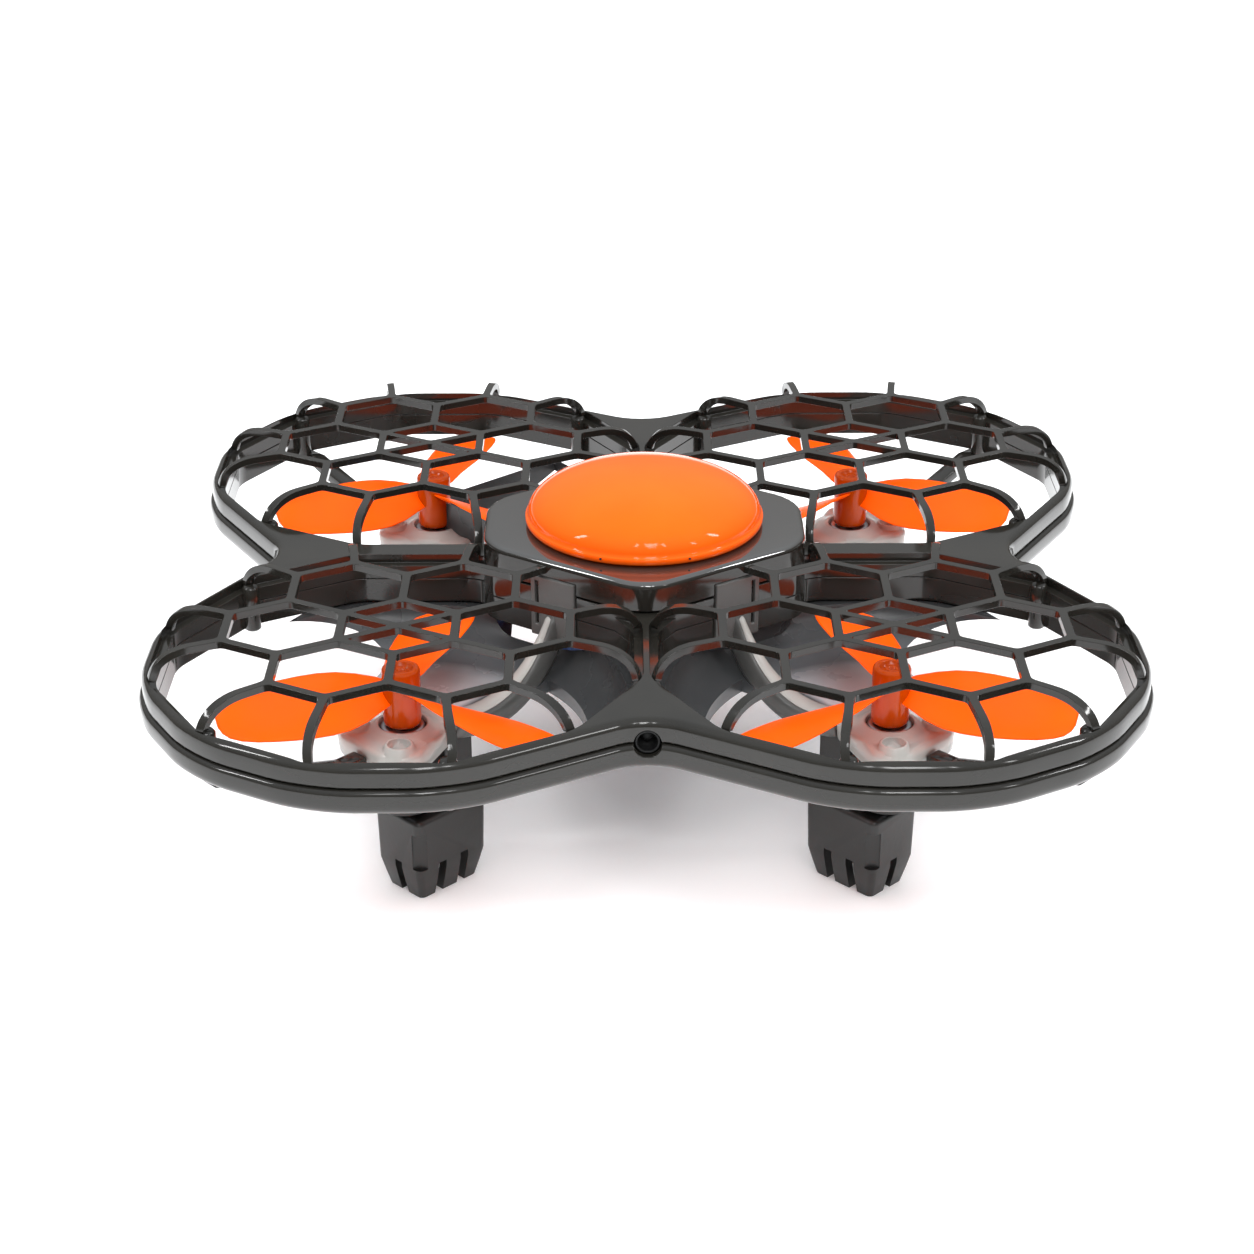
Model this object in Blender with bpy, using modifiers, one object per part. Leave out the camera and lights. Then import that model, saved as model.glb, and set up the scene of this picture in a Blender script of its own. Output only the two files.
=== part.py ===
"""Small guarded quadcopter: four caged rotors around a domed centre body, on four slotted feet.

Metres, +Z up.  The origin is on the ground under the middle of the drone; -Y is its front.
"""
import bpy
import bmesh
from math import cos, pi, radians, sin, sqrt, tan
from mathutils import Matrix, Vector

MM = 0.001

# ---- driving sizes -------------------------------------------------------------------------
FIT = 0.3 * MM                 # gap that two touching mouldings keep
LEFT_RIGHT = 38.0 * MM         # rotor axis to the middle, sideways
FRONT_REAR = 39.5 * MM         # rotor axis to the middle, lengthways

CAGE_X = LEFT_RIGHT + 0.2 * MM     # middle of a rotor cage, sideways
CAGE_Y = FRONT_REAR - 0.9 * MM     # middle of a rotor cage, lengthways
BRIDGE_X = 3.8 * MM            # narrowest width between the left and right cages
BRIDGE_Y = 7.0 * MM            # narrowest width between the front and rear cages
CAGE_REACH_X = CAGE_X - BRIDGE_X / 2   # cage middle to the rim's inner wall, sideways
CAGE_REACH_Y = CAGE_Y - BRIDGE_Y / 2   # cage middle to the rim's inner wall, lengthways
RIM_WALL = 2.8 * MM            # thickness of the upper rim
RIM_BULGE = 0.6 * MM           # how far the lower rim stands proud of the upper one
RIM_TOP = 42.2 * MM
RIM_SPLIT = 38.4 * MM          # parting line between upper and lower frame
RIM_BOTTOM = 34.2 * MM
CORNER_ROUND = 5.0 * MM        # plan radius of the rim's corners
NOTCH_ROUND = 12.0 * MM        # plan radius of the four notches between the cages

DECK_TOP = 47.3 * MM
SIDE_LEG_OVERRUN = 1.0 * MM    # how far a side leg's foot lies beyond four columns of the honeycomb
END_LEG = 11.1 * MM            # length of the legs at the front and rear of a cage
CELL_STEP = (CAGE_REACH_X - SIDE_LEG_OVERRUN) / 4   # sideways step between the honeycomb's columns
CELL_SIDE = (CAGE_REACH_Y - END_LEG) / 2.5          # length of a lengthways honeycomb side
BAR_WIDTH = 1.3 * MM           # width of a honeycomb bar
BAR_DEPTH = 1.2 * MM           # thickness of a honeycomb bar
GRILLE_TOP = DECK_TOP - 0.9 * MM
LEDGE = 1.4 * MM               # seat of a grille's ring in the top of the rim
RING_DEPTH = 1.2 * MM

DECK_SIDE = 26.6 * MM          # deck middle to its left and right edges
DECK_SHOULDER = 9.5 * MM       # half length of those edges
DECK_NOSE = 27.4 * MM          # deck middle to its front and rear corners
DECK_ROUND = 4.0 * MM
DECK_PLATE = 1.8 * MM          # thickness of the deck's top
DRUM_WALL = 2.0 * MM           # wall of the centre body

DOME_RADIUS = 19.8 * MM
DOME_RISE = 8.2 * MM
DOME_WALL = 1.2 * MM
DOME_SKIRT = 0.5 * MM          # straight band under the dome's curve
DOME_SPIGOT = 2.0 * MM         # depth of the ring that locates the dome in the deck
DOME_LAP = 2.6 * MM            # width of the dome's edge that rests on the deck
DECK_EDGE = 0.6 * MM           # bevel of the deck's edges
BULB_RADIUS = 1.8 * MM
BULB_HEIGHT = 3.0 * MM
BULB_REACH = 8.0 * MM          # middle of the dome to a bulb
LIGHT_BOARD = 1.0 * MM         # thickness of the board that the bulbs stand on

BELLY_BOTTOM = 22.0 * MM
BELLY_INSET = 1.2 * MM         # step from the lower frame in to the belly
BELLY_TAPER = 0.84             # belly bottom width over belly top width
BELLY_WALL = 1.5 * MM
DOOR_WIDTH = 24.0 * MM
DOOR_LENGTH = 18.0 * MM
BATTERY = Vector((30.0, 20.0, 7.0)) * MM   # width, length and height
BOARD = Vector((30.0, 26.0, 1.2)) * MM
BOARD_DROP = 1.0 * MM          # main board's top below the frame's parting line
SOCKET = Vector((7.4, 5.0, 2.6)) * MM      # charging socket: width, depth and height
SOCKET_WALL = 0.5 * MM
SOCKET_DROP = 2.6 * MM         # socket's middle below the belly's top

POD_TOP = 29.2 * MM
POD_PLATE = 3.6 * MM           # thickness of a motor pod's plate
SCREW_REACH = 7.4 * MM         # rotor axis to a pod screw
SCREW_HEAD = 1.5 * MM          # radius of a screw's head
SCREW_HEIGHT = 0.9 * MM
BOSS_RADIUS = 2.9 * MM
POD_INNER = 9.0 * MM           # rotor axis to the pod's inner end, which meets its arm
POD_ROUND = 2.4 * MM           # plan radius of the pod's corners
MOTOR_RADIUS = 3.5 * MM
MOTOR_LENGTH = 12.0 * MM
MOTOR_SINK = 0.6 * MM          # motor's top below its pod's top
SLEEVE_WALL = 1.1 * MM         # wall of the tube that holds a motor
SHAFT_RADIUS = 0.5 * MM

HUB_RADIUS = 3.0 * MM
HUB_BOTTOM = POD_TOP + 0.8 * MM
HUB_HEIGHT = 9.7 * MM
HUB_CAP = 2.0 * MM             # solid top of a hub, above its shaft
HUB_RECESS = 1.0 * MM          # depth of the dimple in a hub's top
HUB_DIMPLE = 1.5 * MM          # radius of that dimple
TIP_ROOM = 6.0 * MM            # least gap from a blade's tip to the rim
WALL_ROOM = 1.8 * MM           # least gap from a blade's tip to the centre body
BLADE_LEVEL = HUB_BOTTOM + 5.6 * MM    # height of the blades' pitch line
BLADE_CHORD = 12.6 * MM
BLADE_THICKNESS = 0.9 * MM

ARM_WIDTH = 6.4 * MM
ARM_DEPTH = 3.4 * MM           # height of an arm beside its pod
ARM_ROOT_TOP = GRILLE_TOP - 2.2 * MM     # top of the upright panel at an arm's inner end

FOOT_LENGTH = 14.6 * MM        # along the diagonal, above the taper
FOOT_WIDTH = 10.8 * MM
FOOT_TAPER = 1.4 * MM          # how far each side leans in at the ground
FOOT_TAPER_HEIGHT = 6.2 * MM
WIRE_ROOM = 2.0 * MM           # space for a motor's wires between it and its foot
FOOT_HEIGHT = POD_TOP - MOTOR_SINK - MOTOR_LENGTH - WIRE_ROOM
FOOT_OUTSET = 2.3 * MM         # rotor axis to the foot's outer end
FOOT_WALL = 1.6 * MM
FOOT_ROOF = 1.5 * MM           # thickness of a foot's top
FOOT_ROUND = 2.0 * MM          # plan radius of a foot's corners
NECK_WIDTH = 5.0 * MM          # wall that joins a foot to its pod
NECK_ROOM = 1.0 * MM           # gap from the neck to the motor's tube
SLOT_WIDTH = 1.6 * MM
SLOT_HEIGHT = 6.0 * MM
SLOT_SHIFT = 2.3 * MM          # foot's middle to each slot in its long sides

SPOKE_START = 8.6 * MM         # rotor axis to a spoke's inner end
SPOKE_WIDTH = 3.2 * MM
SPOKE_DEPTH = 2.2 * MM

LENS_RADIUS = 1.75 * MM        # sensor window in the front notch
LENS_LENGTH = 4.0 * MM
LENS_SINK = 0.4 * MM           # window's face behind the frame's front wall
BORE_REACH = 6.0 * MM          # half length of the bore for the window
BUTTON_RADIUS = 2.4 * MM
BUTTON_TRAVEL = 0.6 * MM

SIDES = (("front_left", -1, -1), ("front_right", 1, -1), ("rear_left", -1, 1), ("rear_right", 1, 1))
FACET = pi / 6                 # a rotor cage has twelve sides


# ---- scene ---------------------------------------------------------------------------------
for leftover in list(bpy.data.objects):
    bpy.data.objects.remove(leftover, do_unlink=True)


def new_collection(name):
    made = bpy.data.collections.new(name)
    bpy.context.scene.collection.children.link(made)
    return made


PARTS = new_collection("guarded_quadcopter")
CUTTERS = new_collection("cutters")


def plastic(name, colour, roughness, metallic=0.0):
    made = bpy.data.materials.new(name)
    made.use_nodes = True
    shader = made.node_tree.nodes["Principled BSDF"]
    shader.inputs["Base Color"].default_value = (*colour, 1.0)
    shader.inputs["Roughness"].default_value = roughness
    shader.inputs["Metallic"].default_value = metallic
    return made


def part(name, mesh, colour, roughness, metallic=0.0):
    """Put a mesh in the model as a named sub-part with its own material."""
    made = bpy.data.objects.new(name, mesh)
    mesh.materials.append(plastic(name + "_finish", colour, roughness, metallic))
    PARTS.objects.link(made)
    return made


def cutter(name, mesh):
    made = bpy.data.objects.new(name, mesh)
    made.hide_render = True
    made.display_type = "WIRE"
    CUTTERS.objects.link(made)
    return made


def boolean(target, other, operation="DIFFERENCE"):
    step = target.modifiers.new(operation.lower(), "BOOLEAN")
    step.object = other
    step.operation = operation
    step.solver = "EXACT"


def soften(target, width, segments=1, angle=50):
    step = target.modifiers.new("edges", "BEVEL")
    step.width = width
    step.segments = segments
    step.limit_method = "ANGLE"
    step.angle_limit = radians(angle)


DARK = (0.075, 0.072, 0.066)
ORANGE = (1.0, 0.165, 0.005)
PALE = (0.62, 0.60, 0.58)


# ---- outlines ------------------------------------------------------------------------------
def rounded(corners, radius, segments=2):
    """Fillet each corner of a closed outline; a radius may be given for each corner."""
    radii = radius if isinstance(radius, (list, tuple)) else [radius] * len(corners)
    points = []
    for index, corner in enumerate(corners):
        before = Vector(corners[index - 1]) - Vector(corner)
        after = Vector(corners[(index + 1) % len(corners)]) - Vector(corner)
        half = before.angle(after) / 2
        reach = min(radii[index] / tan(half), 0.45 * before.length, 0.45 * after.length)
        start = Vector(corner) + before.normalized() * reach
        end = Vector(corner) + after.normalized() * reach
        for step in range(segments + 1):
            share = step / segments
            points.append(start * (1 - share) ** 2 + Vector(corner) * 2 * share * (1 - share)
                          + end * share ** 2)
    return points


def prism(outlines, bottom, top):
    """Upright solid on a flat outline; the first outline is the outside and the rest are holes."""
    curve = bpy.data.curves.new("outline", "CURVE")
    curve.dimensions = "2D"
    curve.fill_mode = "BOTH"
    curve.extrude = (top - bottom) / 2
    for outline in outlines:
        spline = curve.splines.new("POLY")
        spline.points.add(len(outline) - 1)
        for point, place in zip(spline.points, outline):
            point.co = (place[0], place[1], 0.0, 1.0)
        spline.use_cyclic_u = True
    holder = bpy.data.objects.new("outline", curve)
    holder.location.z = (top + bottom) / 2
    bpy.context.scene.collection.objects.link(holder)
    bpy.context.view_layer.update()
    evaluated = holder.evaluated_get(bpy.context.evaluated_depsgraph_get())
    mesh = bpy.data.meshes.new_from_object(evaluated)
    mesh.transform(holder.matrix_world)
    bpy.data.objects.remove(holder, do_unlink=True)
    return welded(mesh)


def welded(mesh):
    shape = bmesh.new()
    shape.from_mesh(mesh)
    bmesh.ops.remove_doubles(shape, verts=shape.verts, dist=0.005 * MM)
    bmesh.ops.recalc_face_normals(shape, faces=shape.faces)
    shape.to_mesh(mesh)
    shape.free()
    return mesh


def cylinder(radius, bottom, top, place=(0.0, 0.0), steps=20, lower_radius=None):
    shape = bmesh.new()
    bmesh.ops.create_cone(shape, cap_ends=True, segments=steps, radius2=radius, depth=top - bottom,
                          radius1=radius if lower_radius is None else lower_radius)
    bmesh.ops.translate(shape, verts=shape.verts, vec=(place[0], place[1], (top + bottom) / 2))
    mesh = bpy.data.meshes.new("round")
    shape.to_mesh(mesh)
    shape.free()
    return mesh


def block(size, centre, turn=0.0):
    """Box of a size at a centre, turned about the vertical through its centre."""
    shape = bmesh.new()
    bmesh.ops.create_cube(shape, size=1.0)
    bmesh.ops.scale(shape, verts=shape.verts, vec=size)
    bmesh.ops.rotate(shape, verts=shape.verts, matrix=Matrix.Rotation(turn, 3, "Z"))
    bmesh.ops.translate(shape, verts=shape.verts, vec=centre)
    mesh = bpy.data.meshes.new("block")
    shape.to_mesh(mesh)
    shape.free()
    return mesh


def cage_corner(step, grow=0.0):
    """Corner of the twelve-sided cage, counted anticlockwise, from the cage's middle."""
    turn = FACET * (step + 0.5)
    reach = Vector((CAGE_REACH_X + grow, CAGE_REACH_Y + grow))
    return Vector((reach.x * cos(turn), reach.y * sin(turn))) / cos(FACET / 2)


def cage_outline(side_x, side_y, grow=0.0):
    corners = [cage_corner(step, grow) for step in range(12)]
    return [Vector((side_x * CAGE_X + corner.x, side_y * CAGE_Y + corner.y))
            for corner in rounded(corners, CORNER_ROUND)]


def frame_outline(grow):
    """Outside of the four joined cages: each cage's slanting sides run on to meet its neighbour's."""
    middle = Vector((CAGE_X, CAGE_Y))
    corners = [middle + cage_corner(step, grow) for step in (-1, 0, 1, 2, 3)]
    side_low, side_high = middle + cage_corner(-2, grow), corners[0]
    front_low, front_high = middle + cage_corner(4, grow), corners[-1]
    side_notch = side_high + (side_low - side_high) * (side_high.y / (side_high.y - side_low.y))
    front_notch = front_high + (front_low - front_high) * (front_high.x / (front_high.x - front_low.x))
    quarter = [side_notch, *corners, front_notch]
    outline = list(quarter)
    outline += [Vector((-point.x, point.y)) for point in reversed(quarter[1:-1])]
    outline += [Vector((-point.x, -point.y)) for point in quarter]
    outline += [Vector((point.x, -point.y)) for point in reversed(quarter[1:-1])]
    radii = []
    for point in outline:
        at_notch = abs(point.x) < FIT or abs(point.y) < FIT
        radii.append(NOTCH_ROUND if at_notch else CORNER_ROUND)
    return rounded(outline, radii)


def deck_outline(grow=0.0):
    """Long six-sided deck with its corners at the front and rear."""
    slant = (DECK_NOSE - DECK_SHOULDER) / DECK_SIDE
    nose = DECK_NOSE + grow * sqrt(1 + slant * slant)
    side = DECK_SIDE + grow
    shoulder = nose - slant * side
    corners = [(side, -shoulder), (side, shoulder), (0.0, nose), (-side, shoulder), (-side, -shoulder),
               (0.0, -nose)]
    return rounded(corners, DECK_ROUND + max(grow, -2 * MM))


def deck_wall_line(place_x):
    """Half length of the deck's outside at a distance from its middle line."""
    return DECK_NOSE - (DECK_NOSE - DECK_SHOULDER) * place_x / DECK_SIDE


def wall_distance():
    """Distance from a rotor's axis, square to the deck's slanting side, to the centre body."""
    slant = (DECK_NOSE - DECK_SHOULDER) / DECK_SIDE
    return (FRONT_REAR + slant * LEFT_RIGHT - DECK_NOSE) / sqrt(1 + slant * slant)


ROTOR_RADIUS = min(CAGE_REACH_X - TIP_ROOM, CAGE_REACH_Y - TIP_ROOM, wall_distance() - WALL_ROOM)


def diagonal_wall():
    """Distance from a rotor's axis, towards the middle at 45 degrees, to the centre body."""
    slant = (DECK_NOSE - DECK_SHOULDER) / DECK_SIDE
    return (FRONT_REAR + slant * LEFT_RIGHT - DECK_NOSE) * sqrt(2) / (1 + slant)


# ---- frames --------------------------------------------------------------------------------
def rotor_opening(label, side_x, side_y, grow, bottom, top):
    """Cutter for one rotor opening, which stops at the centre body's wall."""
    opening = cutter(f"opening_{label}", prism([cage_outline(side_x, side_y, grow)], bottom, top))
    body = cutter(f"opening_body_{label}", prism([deck_outline()], bottom - MM, top + MM))
    boolean(opening, body)
    return opening


def frame(name, grow, bottom, top):
    made = part(name, prism([frame_outline(RIM_WALL + grow)], bottom, top), DARK, 0.25)
    for side, side_x, side_y in SIDES:
        boolean(made, rotor_opening(f"{name}_{side}", side_x, side_y, 0.0, bottom - MM, top + MM))
    inside = prism([deck_outline(-DRUM_WALL)], bottom - MM, top + MM)
    boolean(made, cutter(f"{name}_inside", inside))
    notch = frame_notch(grow)
    bore = cylinder(LENS_RADIUS + FIT, -BORE_REACH, BORE_REACH)
    bore.transform(Matrix.Translation((0, -notch, RIM_SPLIT)) @ Matrix.Rotation(pi / 2, 4, "X"))
    boolean(made, cutter(f"{name}_sensor_bore", bore))
    return made


def frame_notch(grow):
    """Distance from the middle to the bottom of the front notch."""
    return min(abs(point.y) for point in frame_outline(RIM_WALL + grow) if abs(point.x) < MM)


upper_frame = frame("upper_frame", 0.0, RIM_SPLIT + FIT / 2, RIM_TOP)
for side, side_x, side_y in SIDES:
    boolean(upper_frame, rotor_opening(f"seat_{side}", side_x, side_y, LEDGE,
                                       RIM_TOP - RING_DEPTH - FIT, RIM_TOP + MM))
lower_frame = frame("lower_frame", RIM_BULGE, RIM_BOTTOM, RIM_SPLIT - FIT / 2)


# ---- honeycomb grilles -----------------------------------------------------------------------
def lattice_node(row, column):
    """Joint of the honeycomb: rows 1 to 4 run from the front of a cage to its rear."""
    even = column % 2 == 0
    side = CELL_SIDE
    length = {1: -2 * side if even else -2.5 * side, 2: -side if even else -side / 2,
              3: side if even else side / 2, 4: 2 * side if even else 2.5 * side}[row]
    return Vector((column * CELL_STEP, length))


# Each leg of a grille leaves a joint of the honeycomb for a corner of the cage, counted anticlockwise.
LEG_JOINTS = ((3, 3), (4, 2), (4, 1), (4, -1), (4, -2), (3, -3), (2, -3), (1, -2), (1, -1), (1, 1),
              (1, 2), (2, 3))
# Joints that lie on the border between one leg and the next.
BORDER_JOINTS = ({0: (3, 2), 2: (4, 0), 4: (3, -2), 6: (2, -2), 8: (1, 0), 10: (2, 2)})
KNEE = 0.6                     # share of a leg that stays level before it bends down


def inset(corners, distance):
    """Move every side of a closed outline inwards."""
    area = sum(a.x * b.y - b.x * a.y for a, b in zip(corners, corners[1:] + corners[:1]))
    sign = 1 if area > 0 else -1
    moved = []
    for index, corner in enumerate(corners):
        before = (corner - corners[index - 1]).normalized()
        after = (corners[(index + 1) % len(corners)] - corner).normalized()
        inward = Vector((-(before + after).y, (before + after).x)).normalized() * sign
        half = max(0.3, (before + after).length / 2)
        moved.append(corner + inward * distance / half)
    return moved


def grille_cells():
    cells = []
    middle = Vector((0, 0))    # the cell over the hub is braced with a cross
    cells.append([lattice_node(2, -1), lattice_node(2, 0), lattice_node(2, 1), middle])
    cells.append([lattice_node(2, 1), lattice_node(3, 1), middle])
    cells.append([lattice_node(3, 1), lattice_node(3, 0), lattice_node(3, -1), middle])
    cells.append([lattice_node(3, -1), lattice_node(2, -1), middle])
    for column in (-2, 2):
        cells.append([lattice_node(2, column - 1), lattice_node(2, column), lattice_node(2, column + 1),
                      lattice_node(3, column + 1), lattice_node(3, column), lattice_node(3, column - 1)])
    for column in (-1, 1):
        for row, sign in ((3, 1), (2, -1)):
            outer = row + sign
            cells.append([lattice_node(row, column), lattice_node(row, column + 1),
                          lattice_node(outer, column + 1), lattice_node(outer, column),
                          lattice_node(outer, column - 1), lattice_node(row, column - 1)])
    for leg, joint in enumerate(LEG_JOINTS):
        following = (leg + 1) % 12
        feet = [cage_corner(leg, BAR_WIDTH / 2), cage_corner(following, BAR_WIDTH / 2)]
        joints = [lattice_node(*joint), lattice_node(*LEG_JOINTS[following])]
        knees = [joints[end].lerp(feet[end], KNEE) for end in (0, 1)]
        border = [lattice_node(*BORDER_JOINTS[leg])] if leg in BORDER_JOINTS else []
        cells.append([feet[0], feet[1], knees[1], joints[1], *border, joints[0], knees[0]])
    return cells


def cage_share(place):
    """0 at the cage's middle, 1 on the rim's inner wall."""
    scaled = Vector((place.x / CAGE_REACH_X, place.y / CAGE_REACH_Y))
    return max(scaled.dot((cos(FACET * side), sin(FACET * side))) for side in range(12))


def grille(side, side_x, side_y):
    ring = [cage_corner(step, LEDGE - FIT) for step in range(12)]
    holes = [rounded(inset(cell, BAR_WIDTH / 2), 0.9 * MM, 1) for cell in grille_cells()]
    mesh = prism([rounded(ring, CORNER_ROUND, 1), *holes], GRILLE_TOP - BAR_DEPTH, GRILLE_TOP)
    knee_share = cage_share(lattice_node(4, 1).lerp(cage_corner(2), KNEE)) + 0.02
    for vertex in mesh.vertices:
        bend = min(1.0, max(0.0, (cage_share(vertex.co.xy) - knee_share) / (0.97 - knee_share)))
        low = vertex.co.z < GRILLE_TOP - BAR_DEPTH / 2
        seat = RIM_TOP - (RING_DEPTH if low else 0.0)
        vertex.co.z += (seat - vertex.co.z) * bend
        vertex.co.x += side_x * CAGE_X
        vertex.co.y += side_y * CAGE_Y
    made = part(f"grille_{side}", mesh, DARK, 0.22)
    body = prism([deck_outline(FIT)], RIM_BOTTOM, DECK_TOP + MM)
    boolean(made, cutter(f"grille_body_{side}", body))
    return made


for side, side_x, side_y in SIDES:
    grille(side, side_x, side_y)


# ---- deck, dome and electronics --------------------------------------------------------------
top_cover = part("top_cover", prism([deck_outline()], RIM_TOP + FIT, DECK_TOP), DARK, 0.35)
cover_inside = prism([deck_outline(-DRUM_WALL)], RIM_TOP - MM, DECK_TOP - DECK_PLATE)
boolean(top_cover, cutter("cover_inside", cover_inside))
DOME_SEAT = DOME_RADIUS - DOME_LAP
boolean(top_cover, cutter("dome_hole", cylinder(DOME_SEAT, RIM_TOP, DECK_TOP + MM, steps=32)))
soften(top_cover, DECK_EDGE)


def turned(name, profile, steps, colour, roughness, place=(0.0, 0.0)):
    """Turn a closed profile of (radius, height) points about the vertical."""
    shape = bmesh.new()
    ring = [shape.verts.new((radius, 0.0, height)) for radius, height in profile]
    for index, point in enumerate(ring):
        after = ring[(index + 1) % len(ring)]
        if point.co.x > 0 or after.co.x > 0:
            shape.edges.new((point, after))
    bmesh.ops.spin(shape, geom=shape.verts[:] + shape.edges[:], cent=(0, 0, 0), axis=(0, 0, 1),
                   angle=2 * pi, steps=steps, use_merge=True)
    bmesh.ops.remove_doubles(shape, verts=shape.verts, dist=0.005 * MM)
    bmesh.ops.recalc_face_normals(shape, faces=shape.faces)
    bmesh.ops.translate(shape, verts=shape.verts, vec=(*place, 0.0))
    mesh = bpy.data.meshes.new(name)
    shape.to_mesh(mesh)
    shape.free()
    mesh.shade_smooth()
    return part(name, mesh, colour, roughness)


def dome_curve(radius, base, rise, count):
    """Outer curve of a dome from its edge up to its middle."""
    return [(radius * cos(step * pi / 2 / count), base + rise * sin(step * pi / 2 / count))
            for step in range(count + 1)]


dome_base = DECK_TOP + FIT
dome_shoulder = dome_base + DOME_SKIRT
spigot = DOME_SEAT - FIT
outside = dome_curve(DOME_RADIUS, dome_shoulder, DOME_RISE, 6)
inside = dome_curve(spigot - DOME_WALL, dome_shoulder, DOME_RISE - DOME_WALL, 4)
turned("dome_lens", [(spigot - DOME_WALL, DECK_TOP - DOME_SPIGOT), (spigot, DECK_TOP - DOME_SPIGOT),
                     (spigot, dome_base), (DOME_RADIUS - 0.4 * MM, dome_base), *outside, *reversed(inside)],
       28, ORANGE, 0.12)

board_top = RIM_SPLIT - BOARD_DROP
part("main_board", block(BOARD, (0, 0, board_top - BOARD.z / 2)), (0.02, 0.14, 0.06), 0.5)
light_board_disc = cylinder(spigot - DOME_WALL - 2 * MM, RIM_TOP - LIGHT_BOARD, RIM_TOP)
light_board = part("light_board", light_board_disc, (0.8, 0.8, 0.78), 0.5)
for quarter_turn in range(4):
    turn = quarter_turn * pi / 2
    bulb = cylinder(BULB_RADIUS, RIM_TOP - LIGHT_BOARD / 2, RIM_TOP + BULB_HEIGHT, steps=10,
                    place=(BULB_REACH * cos(turn), BULB_REACH * sin(turn)))
    boolean(light_board, cutter(f"bulb_{quarter_turn}", bulb), "UNION")


# ---- belly ---------------------------------------------------------------------------------
def tapered(outline, bottom, top, share):
    """Prism whose bottom is scaled in plan about the middle."""
    mesh = prism([outline], bottom, top)
    for vertex in mesh.vertices:
        if vertex.co.z < (bottom + top) / 2:
            vertex.co.x *= share
            vertex.co.y *= share
    return mesh


belly_top = RIM_BOTTOM - FIT
belly = part("belly_shell", tapered(deck_outline(-BELLY_INSET), BELLY_BOTTOM, belly_top, BELLY_TAPER),
             DARK, 0.2)
boolean(belly, cutter("belly_inside", tapered(deck_outline(-BELLY_INSET - BELLY_WALL),
                                              BELLY_BOTTOM + BELLY_WALL, belly_top + MM, BELLY_TAPER)))
door_place = (0, 0, BELLY_BOTTOM + BELLY_WALL / 2)
boolean(belly, cutter("door_opening", block((DOOR_WIDTH, DOOR_LENGTH, 4 * BELLY_WALL), door_place)))
door_size = (DOOR_WIDTH - 2 * FIT, DOOR_LENGTH - 2 * FIT, BELLY_WALL)
part("battery_door", block(door_size, door_place), DARK, 0.4)
battery_floor = BELLY_BOTTOM + BELLY_WALL + FIT
part("battery", block(BATTERY, (0, 0, battery_floor + BATTERY.z / 2)), (0.03, 0.10, 0.30), 0.45)

button_y = (DOOR_LENGTH / 2 + deck_wall_line(0) * BELLY_TAPER) / 2
button_bore = cylinder(BUTTON_RADIUS + FIT, BELLY_BOTTOM - MM, BELLY_BOTTOM + 2 * BELLY_WALL,
                       (0, button_y))
boolean(belly, cutter("button_bore", button_bore))
part("power_button", cylinder(BUTTON_RADIUS, BELLY_BOTTOM - BUTTON_TRAVEL, BELLY_BOTTOM + BELLY_WALL,
                              (0, button_y)), ORANGE, 0.4)

socket_z = belly_top - SOCKET_DROP
socket_y = deck_wall_line(SOCKET.x / 2) - BELLY_INSET - DRUM_WALL - SOCKET.y / 2 - FIT
socket = part("charge_socket", block(SOCKET, (0, socket_y, socket_z)), (0.6, 0.6, 0.62), 0.3, 1.0)
mouth_size = SOCKET - Vector((2, 2, 2)) * SOCKET_WALL
boolean(socket, cutter("socket_mouth", block(mouth_size, (0, socket_y + 2 * SOCKET_WALL, socket_z))))
window_y = (socket_y + deck_wall_line(0)) / 2 + SOCKET.y
window_depth = 2 * SOCKET.y + deck_wall_line(0) - socket_y
window = block((SOCKET.x, window_depth, SOCKET.z), (0, window_y, socket_z))
boolean(belly, cutter("socket_window", window))

lens = cylinder(LENS_RADIUS, -LENS_LENGTH / 2, LENS_LENGTH / 2, steps=16)
lens_y = -frame_notch(0.0) + LENS_SINK + LENS_LENGTH / 2
lens.transform(Matrix.Translation((0, lens_y, RIM_SPLIT)) @ Matrix.Rotation(pi / 2, 4, "X"))
part("sensor_lens", lens, (0.01, 0.01, 0.012), 0.1)


# ---- motors, pods and arms -------------------------------------------------------------------
def diagonal(side_x, side_y, along, across=0.0):
    """Point from a rotor axis towards the middle of the drone, and sideways to that."""
    axis = Vector((side_x * LEFT_RIGHT, side_y * FRONT_REAR))
    inward = Vector((-side_x, -side_y)) / sqrt(2)
    sideways = Vector((side_y, -side_x)) / sqrt(2) * side_x * side_y
    return axis + inward * along + sideways * across


def screw_places(side_x, side_y):
    axis = Vector((side_x * LEFT_RIGHT, side_y * FRONT_REAR))
    return [axis + Vector((side_x * SCREW_REACH, 0)), axis + Vector((0, side_y * SCREW_REACH))]


sleeve = MOTOR_RADIUS + FIT + SLEEVE_WALL
pod_bottom = POD_TOP - POD_PLATE
motor_top = POD_TOP - MOTOR_SINK
motor_bottom = motor_top - MOTOR_LENGTH


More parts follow.
